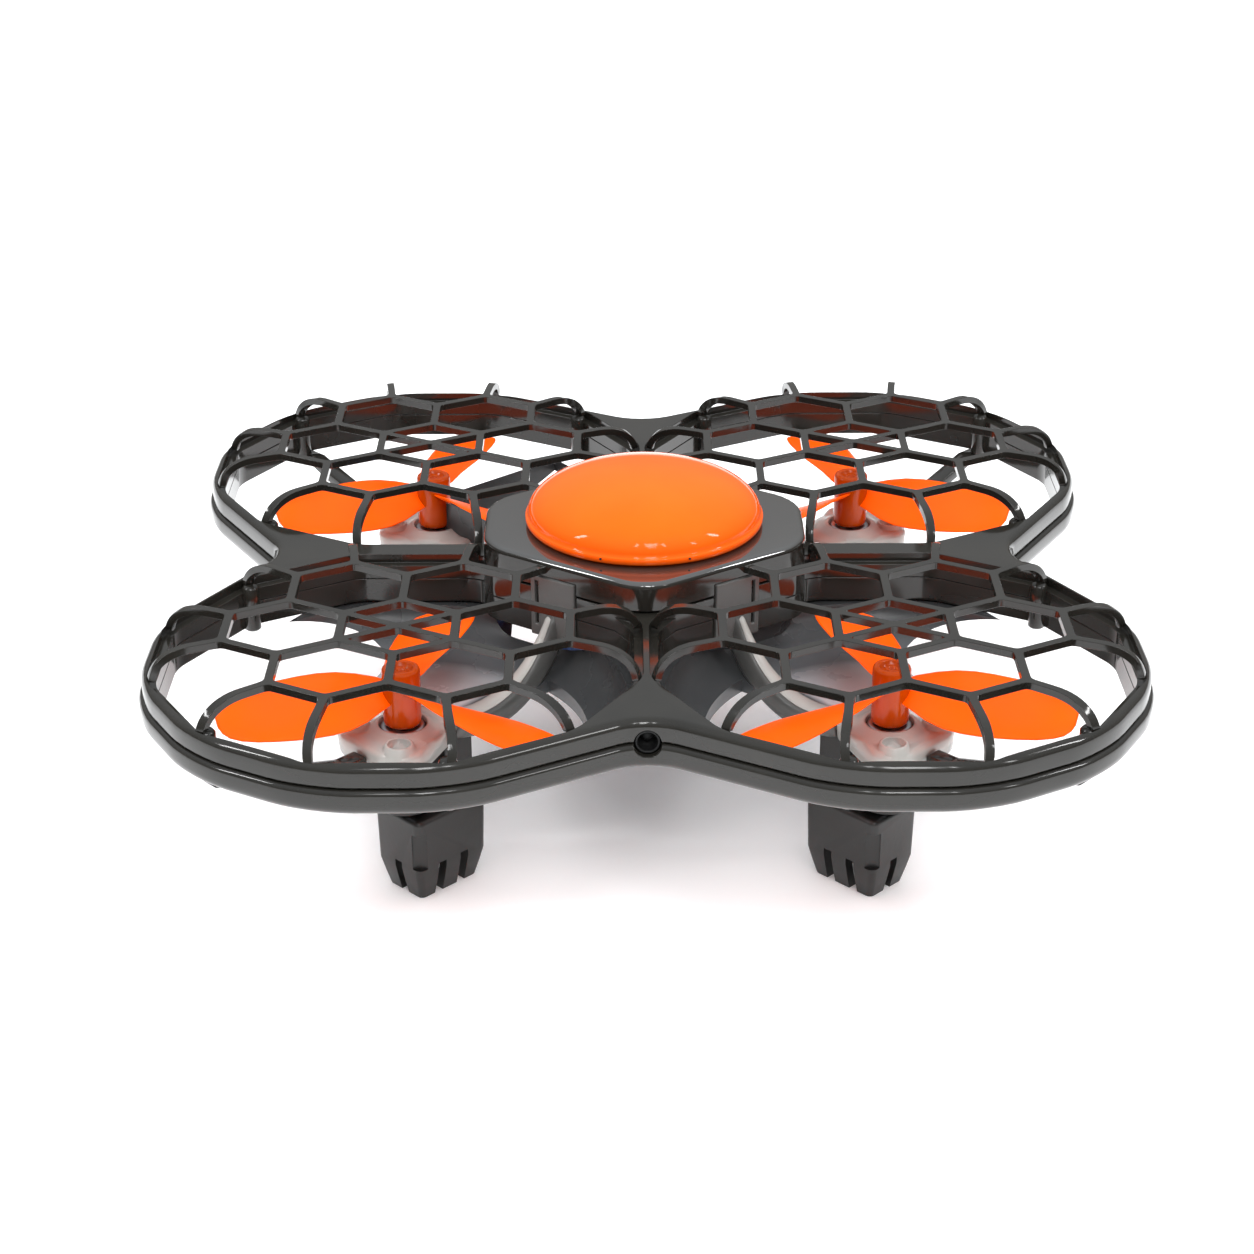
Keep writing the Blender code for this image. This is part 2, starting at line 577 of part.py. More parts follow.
def pod(side, side_x, side_y):
    near, far = screw_places(side_x, side_y)
    axis = Vector((side_x * LEFT_RIGHT, side_y * FRONT_REAR))
    outline = [near + Vector((side_x * BOSS_RADIUS, -side_y * BOSS_RADIUS)),
               near + Vector((side_x * BOSS_RADIUS, side_y * BOSS_RADIUS * 0.6)),
               far + Vector((side_x * BOSS_RADIUS * 0.6, side_y * BOSS_RADIUS)),
               far + Vector((-side_x * BOSS_RADIUS, side_y * BOSS_RADIUS)),
               diagonal(side_x, side_y, POD_INNER, -ARM_WIDTH / 2),
               diagonal(side_x, side_y, POD_INNER, ARM_WIDTH / 2)]
    middle = sum(outline, Vector((0, 0))) / len(outline)
    outline.sort(key=lambda point: Vector((1, 0)).angle_signed(point - middle))
    plate = prism([rounded(outline, POD_ROUND)], pod_bottom, POD_TOP)
    made = part(f"motor_pod_{side}", plate, PALE, 0.4)
    tube = cylinder(sleeve, motor_bottom - FIT, pod_bottom + MM / 2, axis)
    boolean(made, cutter(f"sleeve_{side}", tube), "UNION")
    bore = cylinder(MOTOR_RADIUS + FIT, motor_bottom - MM, POD_TOP + MM, axis)
    boolean(made, cutter(f"motor_bore_{side}", bore))
    for index, place in enumerate(screw_places(side_x, side_y)):
        recess = cylinder(SCREW_HEAD + FIT, POD_TOP - SCREW_HEIGHT - FIT, POD_TOP + MM, place, 14)
        boolean(made, cutter(f"screw_recess_{side}_{index}", recess))
        head = cylinder(SCREW_HEAD, POD_TOP - SCREW_HEIGHT, POD_TOP - 0.1 * MM, place, 12)
        part(f"screw_{side}_{index + 1}", head, (0.5, 0.5, 0.52), 0.3, 1.0)
    can = cylinder(MOTOR_RADIUS, motor_bottom, motor_top, axis)
    part(f"motor_{side}", can, (0.65, 0.65, 0.66), 0.3, 1.0)
    return made


def arm(side, side_x, side_y):
    """Bracket that runs in from its pod under the rotor and turns up the centre body's wall."""
    wall = diagonal_wall() - 0.6 * MM
    start = POD_INNER + FIT
    low, level = pod_bottom, pod_bottom + ARM_DEPTH
    # Distance from the rotor's axis and height: along the underside, then back along the top.
    edge = [(start, low), (wall - 9 * MM, low + 0.3 * MM), (wall - 4 * MM, low + 1.8 * MM),
            (wall - 0.4 * MM, HUB_BOTTOM + 0.2 * MM), (wall, RIM_BOTTOM), (wall, ARM_ROOT_TOP),
            (wall - 0.9 * MM, ARM_ROOT_TOP - MM), (wall - 1.2 * MM, RIM_BOTTOM + MM),
            (wall - 2.2 * MM, HUB_BOTTOM + 2 * MM), (wall - 4 * MM, level + 1.4 * MM),
            (wall - 9 * MM, level + 0.3 * MM), (start, level)]
    mesh = prism([edge], -ARM_WIDTH / 2, ARM_WIDTH / 2)
    inward = Vector((-side_x, -side_y, 0)) / sqrt(2)
    upward = Vector((0, 0, 1))
    across = inward.cross(upward)
    axis = Vector((side_x * LEFT_RIGHT, side_y * FRONT_REAR, 0))
    for vertex in mesh.vertices:
        vertex.co = axis + inward * vertex.co.x + upward * vertex.co.y + across * vertex.co.z
    made = part(f"arm_{side}", welded(mesh), PALE, 0.35)
    body = prism([deck_outline(FIT)], BELLY_BOTTOM - MM, DECK_TOP + MM)
    boolean(made, cutter(f"arm_body_{side}", body))
    return made


def foot(side, side_x, side_y):
    """Hollow landing foot under the motor: a box along the diagonal, with slots that open downwards."""
    middle = diagonal(side_x, side_y, FOOT_LENGTH / 2 - FOOT_OUTSET)
    turn = pi / 4 if side_x * side_y > 0 else -pi / 4

    def body(shrink, bottom, top):
        """The foot's box, which leans in on every side below the top of its taper."""
        length, width = FOOT_LENGTH / 2 - shrink, FOOT_WIDTH / 2 - shrink
        corners = [(-length, -width), (length, -width), (length, width), (-length, width)]
        mesh = prism([rounded(corners, FOOT_ROUND - shrink)], bottom, top)
        shape = bmesh.new()
        shape.from_mesh(mesh)
        everything = shape.verts[:] + shape.edges[:] + shape.faces[:]
        bmesh.ops.bisect_plane(shape, geom=everything, plane_co=(0, 0, FOOT_TAPER_HEIGHT),
                               plane_no=(0, 0, 1))
        shape.to_mesh(mesh)
        shape.free()
        for vertex in mesh.vertices:
            lean = FOOT_TAPER * max(0.0, 1 - vertex.co.z / FOOT_TAPER_HEIGHT)
            vertex.co.x *= (length - lean) / length
            vertex.co.y *= (width - lean) / width
        mesh.transform(Matrix.Translation((*middle, 0)) @ Matrix.Rotation(turn, 4, "Z"))
        return mesh

    made = part(f"foot_{side}", body(0, 0, FOOT_HEIGHT), DARK, 0.4)
    neck_start = sleeve + NECK_ROOM
    neck_length = FOOT_LENGTH - FOOT_OUTSET - neck_start
    neck = block((neck_length, NECK_WIDTH, pod_bottom - FIT - FOOT_HEIGHT + MM),
                 (*diagonal(side_x, side_y, neck_start + neck_length / 2),
                  (pod_bottom - FIT + FOOT_HEIGHT - MM) / 2), turn)
    boolean(made, cutter(f"foot_neck_{side}", neck), "UNION")
    boolean(made, cutter(f"foot_inside_{side}", body(FOOT_WALL, -MM, FOOT_HEIGHT - FOOT_ROOF)))
    foot_middle = FOOT_LENGTH / 2 - FOOT_OUTSET
    slots = [(FOOT_LENGTH, SLOT_WIDTH, -FOOT_OUTSET),
             (SLOT_WIDTH, 2 * FOOT_WIDTH, foot_middle - SLOT_SHIFT),
             (SLOT_WIDTH, 2 * FOOT_WIDTH, foot_middle + SLOT_SHIFT)]
    for index, (length, width, along) in enumerate(slots):
        slot = block((length, width, 2 * SLOT_HEIGHT), (*diagonal(side_x, side_y, along), 0.0), turn)
        boolean(made, cutter(f"foot_slot_{side}_{index}", slot))
    return made


def spoke(side, side_x, side_y):
    """Bar that ties a pod's outer end to the underside of the rim."""
    reach = (Vector((CAGE_X, CAGE_Y)) + cage_corner(1)).length - Vector((LEFT_RIGHT, FRONT_REAR)).length
    start, low, rim = SPOKE_START, pod_bottom, RIM_BOTTOM - FIT
    # Distance from the rotor's axis and height: along the underside, then back along the top.
    edge = [(start, low), (start + 3 * MM, low), (reach - 5 * MM, rim - 4.5 * MM),
            (reach + 1.2 * MM, rim - 1.0 * MM), (reach + 1.2 * MM, rim), (reach - 1.0 * MM, rim),
            (reach - 6 * MM, rim - 2.6 * MM), (start + 2.4 * MM, low + SPOKE_DEPTH),
            (start, low + SPOKE_DEPTH)]
    mesh = prism([edge], -SPOKE_WIDTH / 2, SPOKE_WIDTH / 2)
    outward = Vector((side_x, side_y, 0)) / sqrt(2)
    upward = Vector((0, 0, 1))
    across = outward.cross(upward)
    axis = Vector((side_x * LEFT_RIGHT, side_y * FRONT_REAR, 0))
    for vertex in mesh.vertices:
        vertex.co = axis + outward * vertex.co.x + upward * vertex.co.y + across * vertex.co.z
    return part(f"spoke_{side}", welded(mesh), DARK, 0.35)


# ---- rotors --------------------------------------------------------------------------------
# Along a blade: distance from the axis, chord and lead of the middle of the chord, as shares, and pitch.
BLADE_STATIONS = ((0.07, 0.34, 0.00, 34), (0.22, 0.60, 0.02, 29), (0.42, 0.94, 0.03, 23),
                  (0.62, 1.00, 0.03, 18), (0.80, 0.92, 0.02, 14), (0.93, 0.66, 0.00, 11),
                  (1.00, 0.24, -0.01, 10))


def blade(hand, turn):
    """One blade lofted through lens-shaped sections; hand -1 mirrors its twist."""
    shape = bmesh.new()
    rings = []
    for reach, chord, lead, pitch in BLADE_STATIONS:
        ring = []
        for step in range(8):
            around = 2 * pi * step / 8
            flat = cos(around) * chord * BLADE_CHORD / 2
            thick = sin(around) * BLADE_THICKNESS / 2 * (0.5 + 0.5 * chord)
            lean = radians(pitch)
            across = flat * cos(lean) + thick * sin(lean) + lead * ROTOR_RADIUS
            up = thick * cos(lean) - flat * sin(lean)
            ring.append(shape.verts.new((reach * ROTOR_RADIUS, hand * across, up)))
        rings.append(ring)
    for inner, outer in zip(rings, rings[1:]):
        for step in range(8):
            after = (step + 1) % 8
            shape.faces.new((inner[step], inner[after], outer[after], outer[step]))
    shape.faces.new(rings[0])
    shape.faces.new(rings[-1])
    bmesh.ops.recalc_face_normals(shape, faces=shape.faces)
    bmesh.ops.rotate(shape, verts=shape.verts, matrix=Matrix.Rotation(turn, 3, "Z"))
    mesh = bpy.data.meshes.new("blade")
    shape.to_mesh(mesh)
    shape.free()
    return mesh


def rotor(side, side_x, side_y):
    """Three-bladed rotor and its shaft, which turn together about the motor's axis."""
    axis = (side_x * LEFT_RIGHT, side_y * FRONT_REAR)
    base, top = HUB_BOTTOM - BLADE_LEVEL, HUB_BOTTOM + HUB_HEIGHT - BLADE_LEVEL
    hub = part(f"rotor_{side}", cylinder(HUB_RADIUS, base, top), ORANGE, 0.35)
    hub.location = (*axis, BLADE_LEVEL)
    first = radians(73) if side_x < 0 else radians(107)
    for index in range(3):
        vane = cutter(f"blade_{side}_{index}", blade(-side_x, first + index * 2 * pi / 3))
        vane.location = hub.location
        boolean(hub, vane, "UNION")
    bores = (("shaft_bore", SHAFT_RADIUS + FIT, base - MM, top - HUB_CAP),
             ("hub_dimple", HUB_DIMPLE, top - HUB_RECESS, top + MM))
    for name, radius, low, high in bores:
        bore = cutter(f"{name}_{side}", cylinder(radius, low, high, steps=10))
        bore.location = hub.location
        boolean(hub, bore)
    pin = cylinder(SHAFT_RADIUS, motor_top + FIT - BLADE_LEVEL, top - HUB_CAP - FIT, steps=8)
    shaft = part(f"shaft_{side}", pin, (0.7, 0.7, 0.72), 0.2, 1.0)
    shaft.location = hub.location


for side, side_x, side_y in SIDES:
    pod(side, side_x, side_y)
    arm(side, side_x, side_y)
    foot(side, side_x, side_y)
    spoke(side, side_x, side_y)
    rotor(side, side_x, side_y)
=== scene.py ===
"""Look of a small guarded quadcopter: caged rotors around a domed body, on four slotted feet."""
from math import atan2, cos, pi, radians, sin, sqrt

import bmesh
import bpy
from mathutils import Matrix, Vector


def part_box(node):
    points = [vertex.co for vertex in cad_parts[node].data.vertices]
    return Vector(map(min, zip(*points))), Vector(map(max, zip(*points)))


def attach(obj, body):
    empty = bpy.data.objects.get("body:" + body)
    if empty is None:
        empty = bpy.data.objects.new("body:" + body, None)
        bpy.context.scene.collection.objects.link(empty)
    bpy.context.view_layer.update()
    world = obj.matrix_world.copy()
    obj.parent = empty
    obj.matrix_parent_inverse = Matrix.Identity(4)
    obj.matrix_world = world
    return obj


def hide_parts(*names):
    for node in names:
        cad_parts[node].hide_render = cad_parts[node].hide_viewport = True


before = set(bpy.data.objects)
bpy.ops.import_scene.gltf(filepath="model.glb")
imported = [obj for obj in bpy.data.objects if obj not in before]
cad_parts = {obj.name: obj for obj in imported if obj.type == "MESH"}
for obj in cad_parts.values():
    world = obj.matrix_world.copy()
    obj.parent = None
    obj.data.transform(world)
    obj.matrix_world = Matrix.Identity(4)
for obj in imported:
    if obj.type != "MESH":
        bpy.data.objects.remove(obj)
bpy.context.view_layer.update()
MM = 0.001

# ---- studio ------------------------------------------------------------------------------------
# A pale sweep of paper under the drone, a broad soft light above, a faint strip at each side, and a
# row of small panes in front that the polished pieces mirror.  The camera looks down from the front.
floor_mesh = bpy.data.meshes.new("studio_floor")
floor_shape = bmesh.new()
bmesh.ops.create_grid(floor_shape, x_segments=1, y_segments=1, size=4.0)
floor_shape.to_mesh(floor_mesh)
floor_shape.free()
floor = bpy.data.objects.new("studio_floor", floor_mesh)
floor.location.z = -0.05 * MM
bpy.context.scene.collection.objects.link(floor)
paper = bpy.data.materials.new("studio_paper")
paper.use_nodes = True
paper_nodes = paper.node_tree.nodes
paper_shader = paper_nodes["Principled BSDF"]
paper_shader.inputs["Roughness"].default_value = 0.9
paper_shader.inputs["Specular IOR Level"].default_value = 0.1
paper_shader.inputs["Emission Color"].default_value = (1.0, 1.0, 1.0, 1.0)
paper_shader.inputs["Emission Strength"].default_value = 0.14
paper_fibre = paper_nodes.new("ShaderNodeTexNoise")
paper_fibre.inputs["Scale"].default_value = 60.0
paper_tone = paper_nodes.new("ShaderNodeMapRange")
paper_tone.inputs["To Min"].default_value = 0.93
paper_tone.inputs["To Max"].default_value = 0.95
paper.node_tree.links.new(paper_fibre.outputs["Fac"], paper_tone.inputs["Value"])
paper.node_tree.links.new(paper_tone.outputs["Result"], paper_shader.inputs["Base Color"])
floor_mesh.materials.append(paper)

world = bpy.data.worlds.new("studio_room")
world.use_nodes = True
room_nodes, room_links = world.node_tree.nodes, world.node_tree.links
room_place = room_nodes.new("ShaderNodeTexCoord")
room_split = room_nodes.new("ShaderNodeSeparateXYZ")
room_tone = room_nodes.new("ShaderNodeValToRGB")
room_tone.color_ramp.elements[0].position = 0.10
room_tone.color_ramp.elements[0].color = (0.30, 0.29, 0.28, 1.0)
room_tone.color_ramp.elements[1].position = 0.75
room_tone.color_ramp.elements[1].color = (0.72, 0.76, 0.80, 1.0)
room_links.new(room_place.outputs["Generated"], room_split.inputs["Vector"])
room_links.new(room_split.outputs["Z"], room_tone.inputs["Fac"])
room_links.new(room_tone.outputs["Color"], room_nodes["Background"].inputs["Color"])
bpy.context.scene.world = world
bpy.context.scene.view_settings.view_transform = "Standard"


def soft_light(name, place, target, size, power):
    lamp = bpy.data.lights.new(name, "AREA")
    lamp.shape = "RECTANGLE"
    lamp.size, lamp.size_y = size
    lamp.energy = power
    holder = bpy.data.objects.new(name, lamp)
    holder.location = place
    holder.rotation_euler = (Vector(target) - Vector(place)).to_track_quat("-Z", "Y").to_euler()
    bpy.context.scene.collection.objects.link(holder)
    return holder


overhead_bank = soft_light("overhead_bank", (0.0, 0.1, 1.5), (0, 0, 0), (2.2, 1.8), 36.0)
overhead_bank.visible_glossy = False
soft_light("left_strip", (-0.55, -0.15, 0.5), (0, 0, 0.04), (0.05, 0.22), 0.9)
soft_light("right_strip", (0.6, -0.1, 0.5), (0, 0, 0.04), (0.05, 0.22), 0.9)
for pane, across, height, size, power in (
        ("top", 0.10, 0.93, (0.20, 0.13), 1.0), ("middle", 0.10, 0.74, (0.16, 0.09), 0.6),
        ("bottom", 0.10, 0.60, (0.12, 0.06), 0.3), ("left", -0.12, 0.84, (0.05, 0.24), 0.5),
        ("right", 0.30, 0.84, (0.05, 0.24), 0.5), ("side", 0.95, 0.80, (0.10, 0.22), 1.0)):
    soft_light(f"front_window_{pane}", (across, -0.75, height), (0, 0, 0.05), size, power)

lens = bpy.data.cameras.new("camera")
lens.lens = 74.93
lens.sensor_width = 36.0
lens.clip_start = 0.01
camera = bpy.data.objects.new("camera", lens)
yaw, pitch, roll = radians(0.094), radians(25.4), radians(-0.121)
forward = Vector((sin(yaw) * cos(pitch), cos(yaw) * cos(pitch), -sin(pitch)))
right = Vector((cos(yaw), -sin(yaw), 0.0))
upward = right.cross(forward)
turned_right = right * cos(roll) + upward * sin(roll)
turned_up = upward * cos(roll) - right * sin(roll)
axes = Matrix((turned_right, turned_up, -forward)).transposed()
camera.matrix_world = Matrix.Translation((-3.56 * MM, -401.15 * MM, 218.12 * MM)) @ axes.to_4x4()
bpy.context.scene.collection.objects.link(camera)
bpy.context.scene.camera = camera

# ---- rim frame ---------------------------------------------------------------------------------
# The guard is two mouldings in smoked grey plastic, an upper and a slightly wider lower one, screwed
# together from below.  Four twelve-sided openings stop at the centre body, and notches join the cages.
FIT = 0.3 * MM
CAGE = Vector((38.2, 38.6)) * MM
CAGE_REACH = Vector((36.3, 35.1)) * MM
SEAM = 0.10 * MM
RIM_TOP, RIM_SPLIT, RIM_BOTTOM = 42.2 * MM, 38.4 * MM, 34.2 * MM
RIM_WALL, RIM_BULGE = 2.8 * MM, 0.6 * MM
DECK_SIDE, DECK_SHOULDER, DECK_NOSE = 26.6 * MM, 9.5 * MM, 27.4 * MM
DRUM_WALL = 2.0 * MM
SIDES = (("front_left", -1, -1), ("front_right", 1, -1), ("rear_left", -1, 1), ("rear_right", 1, 1))


def cage_corner(step, grow=0.0):
    turn = pi / 6 * (step + 0.5)
    return Vector(((CAGE_REACH.x + grow) * cos(turn), (CAGE_REACH.y + grow) * sin(turn))) / cos(pi / 12)


def outline_face(shape, corners, fillets, steps=5):
    """Flat face on the given corners, with each corner filleted by its own length."""
    points = [shape.verts.new((corner[0], corner[1], 0.0)) for corner in corners]
    shape.faces.new(points)
    for length in sorted(set(fillets)):
        group = [point for point, wanted in zip(points, fillets) if wanted == length]
        bmesh.ops.bevel(shape, geom=group, offset=length, segments=steps, affect="VERTICES", profile=0.5,
                        material=-1)


def raise_prism(shape, bottom, top):
    """Turn the flat faces of a mesh into an upright solid."""
    bmesh.ops.translate(shape, verts=shape.verts, vec=(0, 0, bottom))
    lifted = bmesh.ops.extrude_face_region(shape, geom=shape.faces[:])["geom"]
    bmesh.ops.translate(shape, verts=[item for item in lifted if isinstance(item, bmesh.types.BMVert)],
                        vec=(0, 0, top - bottom))
    bmesh.ops.recalc_face_normals(shape, faces=shape.faces)


def deck_corners(grow=0.0):
    slant = (DECK_NOSE - DECK_SHOULDER) / DECK_SIDE
    nose = DECK_NOSE + grow * sqrt(1 + slant * slant)
    side = DECK_SIDE + grow
    shoulder = nose - slant * side
    return [(side, -shoulder), (side, shoulder), (0.0, nose), (-side, shoulder), (-side, -shoulder),
            (0.0, -nose)]


def deck_prism(grow, bottom, top, fillet=3.0 * MM):
    shape = bmesh.new()
    outline_face(shape, deck_corners(grow), [fillet] * 6)
    raise_prism(shape, bottom, top)
    return shape


def plain_object(name, shape):
    mesh = bpy.data.meshes.new(name)
    shape.to_mesh(mesh)
    shape.free()
    made = bpy.data.objects.new(name, mesh)
    bpy.context.scene.collection.objects.link(made)
    return made


def combined(shape, others, operation="DIFFERENCE"):
    """The mesh with each of the others cut out of it, or joined to it."""
    target = plain_object("stock", shape)
    tools = [plain_object("tool", other) for other in others]
    for tool in tools:
        step = target.modifiers.new("combine", "BOOLEAN")
        step.object = tool
        step.operation = operation
        step.solver = "EXACT"
    bpy.context.view_layer.update()
    evaluated = target.evaluated_get(bpy.context.evaluated_depsgraph_get())
    result = bmesh.new()
    result.from_mesh(evaluated.to_mesh())
    evaluated.to_mesh_clear()
    for used in [target, *tools]:
        mesh = used.data
        bpy.data.objects.remove(used, do_unlink=True)
        bpy.data.meshes.remove(mesh)
    bmesh.ops.remove_doubles(result, verts=result.verts, dist=0.002 * MM)
    bmesh.ops.dissolve_degenerate(result, edges=result.edges, dist=0.002 * MM)
    return result


def opening_prism(side_x, side_y, grow, bottom, top):
    """Solid that fills one rotor opening as far as the centre body's wall."""
    shape = bmesh.new()
    corners = [(side_x * CAGE.x + corner.x, side_y * CAGE.y + corner.y)
               for corner in (cage_corner(step, grow) for step in range(12))]
    outline_face(shape, corners, [2.0 * MM] * 12)
    raise_prism(shape, bottom, top)
    return combined(shape, [deck_prism(0.0, bottom - MM, top + MM)])


def frame_shape(grow, bottom, top, top_round, bottom_round):
    """Joined outside of the four cages, rounded over at its outer edges."""
    corners = [CAGE + cage_corner(step, grow) for step in (-1, 0, 1, 2, 3)]
    below, beyond = CAGE + cage_corner(-2, grow), CAGE + cage_corner(4, grow)
    side_notch = corners[0] + (below - corners[0]) * (corners[0].y / (corners[0].y - below.y))
    front_notch = corners[-1] + (beyond - corners[-1]) * (corners[-1].x / (corners[-1].x - beyond.x))
    outline = [side_notch, *corners, front_notch]
    outline += [Vector((-point.x, point.y)) for point in reversed(corners)]
    outline += [Vector((-side_notch.x, 0.0))]
    outline += [Vector((-point.x, -point.y)) for point in corners]
    outline += [Vector((0.0, -front_notch.y))]
    outline += [Vector((point.x, -point.y)) for point in reversed(corners)]
    fillets = [5.0 * MM if abs(point.x) < MM or abs(point.y) < MM else 6.8 * MM for point in outline]
    shape = bmesh.new()
    outline_face(shape, outline, fillets, 6)
    raise_prism(shape, bottom, top)
    for height, radius in ((top, top_round), (bottom, bottom_round)):
        rim = [edge for edge in shape.edges
               if all(abs(point.co.z - height) < FIT / 10 for point in edge.verts)]
        bmesh.ops.bevel(shape, geom=rim, offset=radius, segments=5, affect="EDGES", profile=0.5, material=-1)
    return shape


def settle(name, shape, body, finish, replaces=(), edge=0.25 * MM, edge_steps=2, angle=38):
    """Make the piece's object with softened edges, its finish and its place on a body."""
    mesh = bpy.data.meshes.new(name)
    shape.to_mesh(mesh)
    shape.free()
    mesh.shade_smooth()
    mesh.materials.append(finish)
    made = bpy.data.objects.new(name, mesh)
    bpy.context.scene.collection.objects.link(made)
    if edge:
        step = made.modifiers.new("moulded edges", "BEVEL")
        step.width = edge
        step.segments = edge_steps
        step.limit_method = "ANGLE"
        step.angle_limit = radians(angle)
        step.harden_normals = True
    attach(made, body)
    if replaces:
        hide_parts(*replaces)
    return made


def moulded_plastic(name, colour, shade, roughness, rough_spread, grain, bump, ior=1.5):
    """Plastic with faint cloudy tone, uneven gloss and the ripple that a mould leaves."""
    made = bpy.data.materials.new(name)
    made.use_nodes = True
    nodes, links = made.node_tree.nodes, made.node_tree.links
    shader = nodes["Principled BSDF"]
    shader.inputs["IOR"].default_value = ior
    place = nodes.new("ShaderNodeTexCoord")
    cloud = nodes.new("ShaderNodeTexNoise")
    cloud.inputs["Scale"].default_value = 90.0
    cloud.inputs["Detail"].default_value = 4.0
    links.new(place.outputs["Object"], cloud.inputs["Vector"])
    tone = nodes.new("ShaderNodeValToRGB")
    tone.color_ramp.elements[0].position = 0.3
    tone.color_ramp.elements[0].color = (*shade, 1.0)
    tone.color_ramp.elements[1].position = 0.7
    tone.color_ramp.elements[1].color = (*colour, 1.0)
    links.new(cloud.outputs["Fac"], tone.inputs["Fac"])
    links.new(tone.outputs["Color"], shader.inputs["Base Color"])
    gloss = nodes.new("ShaderNodeMapRange")
    gloss.inputs["To Min"].default_value = roughness - rough_spread
    gloss.inputs["To Max"].default_value = roughness + rough_spread
    links.new(cloud.outputs["Fac"], gloss.inputs["Value"])
    links.new(gloss.outputs["Result"], shader.inputs["Roughness"])
    ripple = nodes.new("ShaderNodeTexNoise")
    ripple.inputs["Scale"].default_value = grain
    ripple.inputs["Detail"].default_value = 2.0
    links.new(place.outputs["Object"], ripple.inputs["Vector"])
    relief = nodes.new("ShaderNodeBump")
    relief.inputs["Strength"].default_value = bump
    relief.inputs["Distance"].default_value = 0.05 * MM
    links.new(ripple.outputs["Fac"], relief.inputs["Height"])
    links.new(relief.outputs["Normal"], shader.inputs["Normal"])
    return made


SMOKED = moulded_plastic("smoked_grey_plastic", (0.019, 0.0175, 0.0145), (0.014, 0.013, 0.011), 0.11, 0.04,
                         420.0, 0.12, 1.5)
SENSOR_BORE = 2.05 * MM
for label, grow, bottom, top, top_round, bottom_round in (
        ("upper", 0.0, RIM_SPLIT + SEAM / 2, RIM_TOP, 1.5 * MM, 0.45 * MM),
        ("lower", RIM_BULGE, RIM_BOTTOM, RIM_SPLIT - SEAM / 2, 0.9 * MM, 1.9 * MM)):
    tools = [opening_prism(side_x, side_y, 0.0, bottom - MM, top + MM) for name, side_x, side_y in SIDES]
    if label == "upper":
        tools += [opening_prism(side_x, side_y, 1.4 * MM, RIM_TOP - 1.5 * MM, RIM_TOP + MM)
                  for name, side_x, side_y in SIDES]
    tools.append(deck_prism(-DRUM_WALL, bottom - MM, top + MM))
    bore = bmesh.new()
    bmesh.ops.create_cone(bore, cap_ends=True, segments=32, radius1=SENSOR_BORE, radius2=SENSOR_BORE,
                          depth=12 * MM)
    bmesh.ops.rotate(bore, verts=bore.verts, matrix=Matrix.Rotation(pi / 2, 3, "X"))
    bmesh.ops.translate(bore, verts=bore.verts, vec=(0, -60.0 * MM, RIM_SPLIT))
    tools.append(bore)
    shape = combined(frame_shape(RIM_WALL + grow, bottom, top, top_round, bottom_round), tools)
    settle(f"{label}_rim", shape, "airframe", SMOKED, [f"{label}_frame"])

# ---- honeycomb grilles -------------------------------------------------------------------------
# Each rotor sits under a moulded honeycomb guard in the same smoked plastic.  Its bars run level, and
# twelve legs turn down and land on the top of the rim.  The middle cell, over the hub, is braced with
# a cross.
DECK_TOP, GRILLE_TOP = 47.3 * MM, 46.4 * MM
BAR_WIDTH, BAR_DEPTH = 1.35 * MM, 1.2 * MM
CELL_STEP, CELL_SIDE = 8.825 * MM, 9.6 * MM
LEG_BEND, LEG_END = 5.0 * MM, 2.6 * MM
LEG_JOINTS = ((3, 3), (4, 2), (4, 1), (4, -1), (4, -2), (3, -3), (2, -3), (1, -2), (1, -1), (1, 1), (1, 2),
              (2, 3))
BORDER_JOINTS = {0: (3, 2), 2: (4, 0), 4: (3, -2), 6: (2, -2), 8: (1, 0), 10: (2, 2)}


def joint(row, column):
    even = column % 2 == 0
    length = {1: -2 if even else -2.5, 2: -1 if even else -0.5, 3: 1 if even else 0.5, 4: 2 if even else 2.5}
    return Vector((column * CELL_STEP, length[row] * CELL_SIDE))


def wall_gap(place):
    """Distance from a point of a cage, counted from its middle, out to the rim's inner wall."""
    gaps = []
    for side in range(12):
        facing = Vector((cos(side * pi / 6) * CAGE_REACH.x, sin(side * pi / 6) * CAGE_REACH.y))
        gaps.append(facing.length - place.dot(facing.normalized()))
    return min(gaps)


def under_deck(place):
    """How far a point lies inside the deck's outline; less than zero outside it."""
    slant = (DECK_NOSE - DECK_SHOULDER) / DECK_SIDE
    past_slant = (DECK_NOSE - slant * abs(place.x) - abs(place.y)) / sqrt(1 + slant ** 2)
    return min(DECK_SIDE - abs(place.x), past_slant)


def honeycomb_cells():
    cells = []
    for column in (-2, 2):
        cells.append([joint(2, column - 1), joint(2, column), joint(2, column + 1),
                      joint(3, column + 1), joint(3, column), joint(3, column - 1)])
    middle = Vector((0, 0))
    cells.append([joint(2, -1), joint(2, 0), joint(2, 1), middle])
    cells.append([joint(2, 1), joint(3, 1), middle])
    cells.append([joint(3, 1), joint(3, 0), joint(3, -1), middle])
    cells.append([joint(3, -1), joint(2, -1), middle])
    for column in (-1, 1):
        for row, sign in ((3, 1), (2, -1)):
            cells.append([joint(row, column), joint(row, column + 1), joint(row + sign, column + 1),
                          joint(row + sign, column), joint(row + sign, column - 1), joint(row, column - 1)])
    for leg, start in enumerate(LEG_JOINTS):
        border = [joint(*BORDER_JOINTS[leg])] if leg in BORDER_JOINTS else []
        landing = [cage_corner(leg, LEG_END), cage_corner(leg + 1, LEG_END)]
        cells.append([*landing, joint(*LEG_JOINTS[(leg + 1) % 12]), *border, joint(*start)])
    return cells


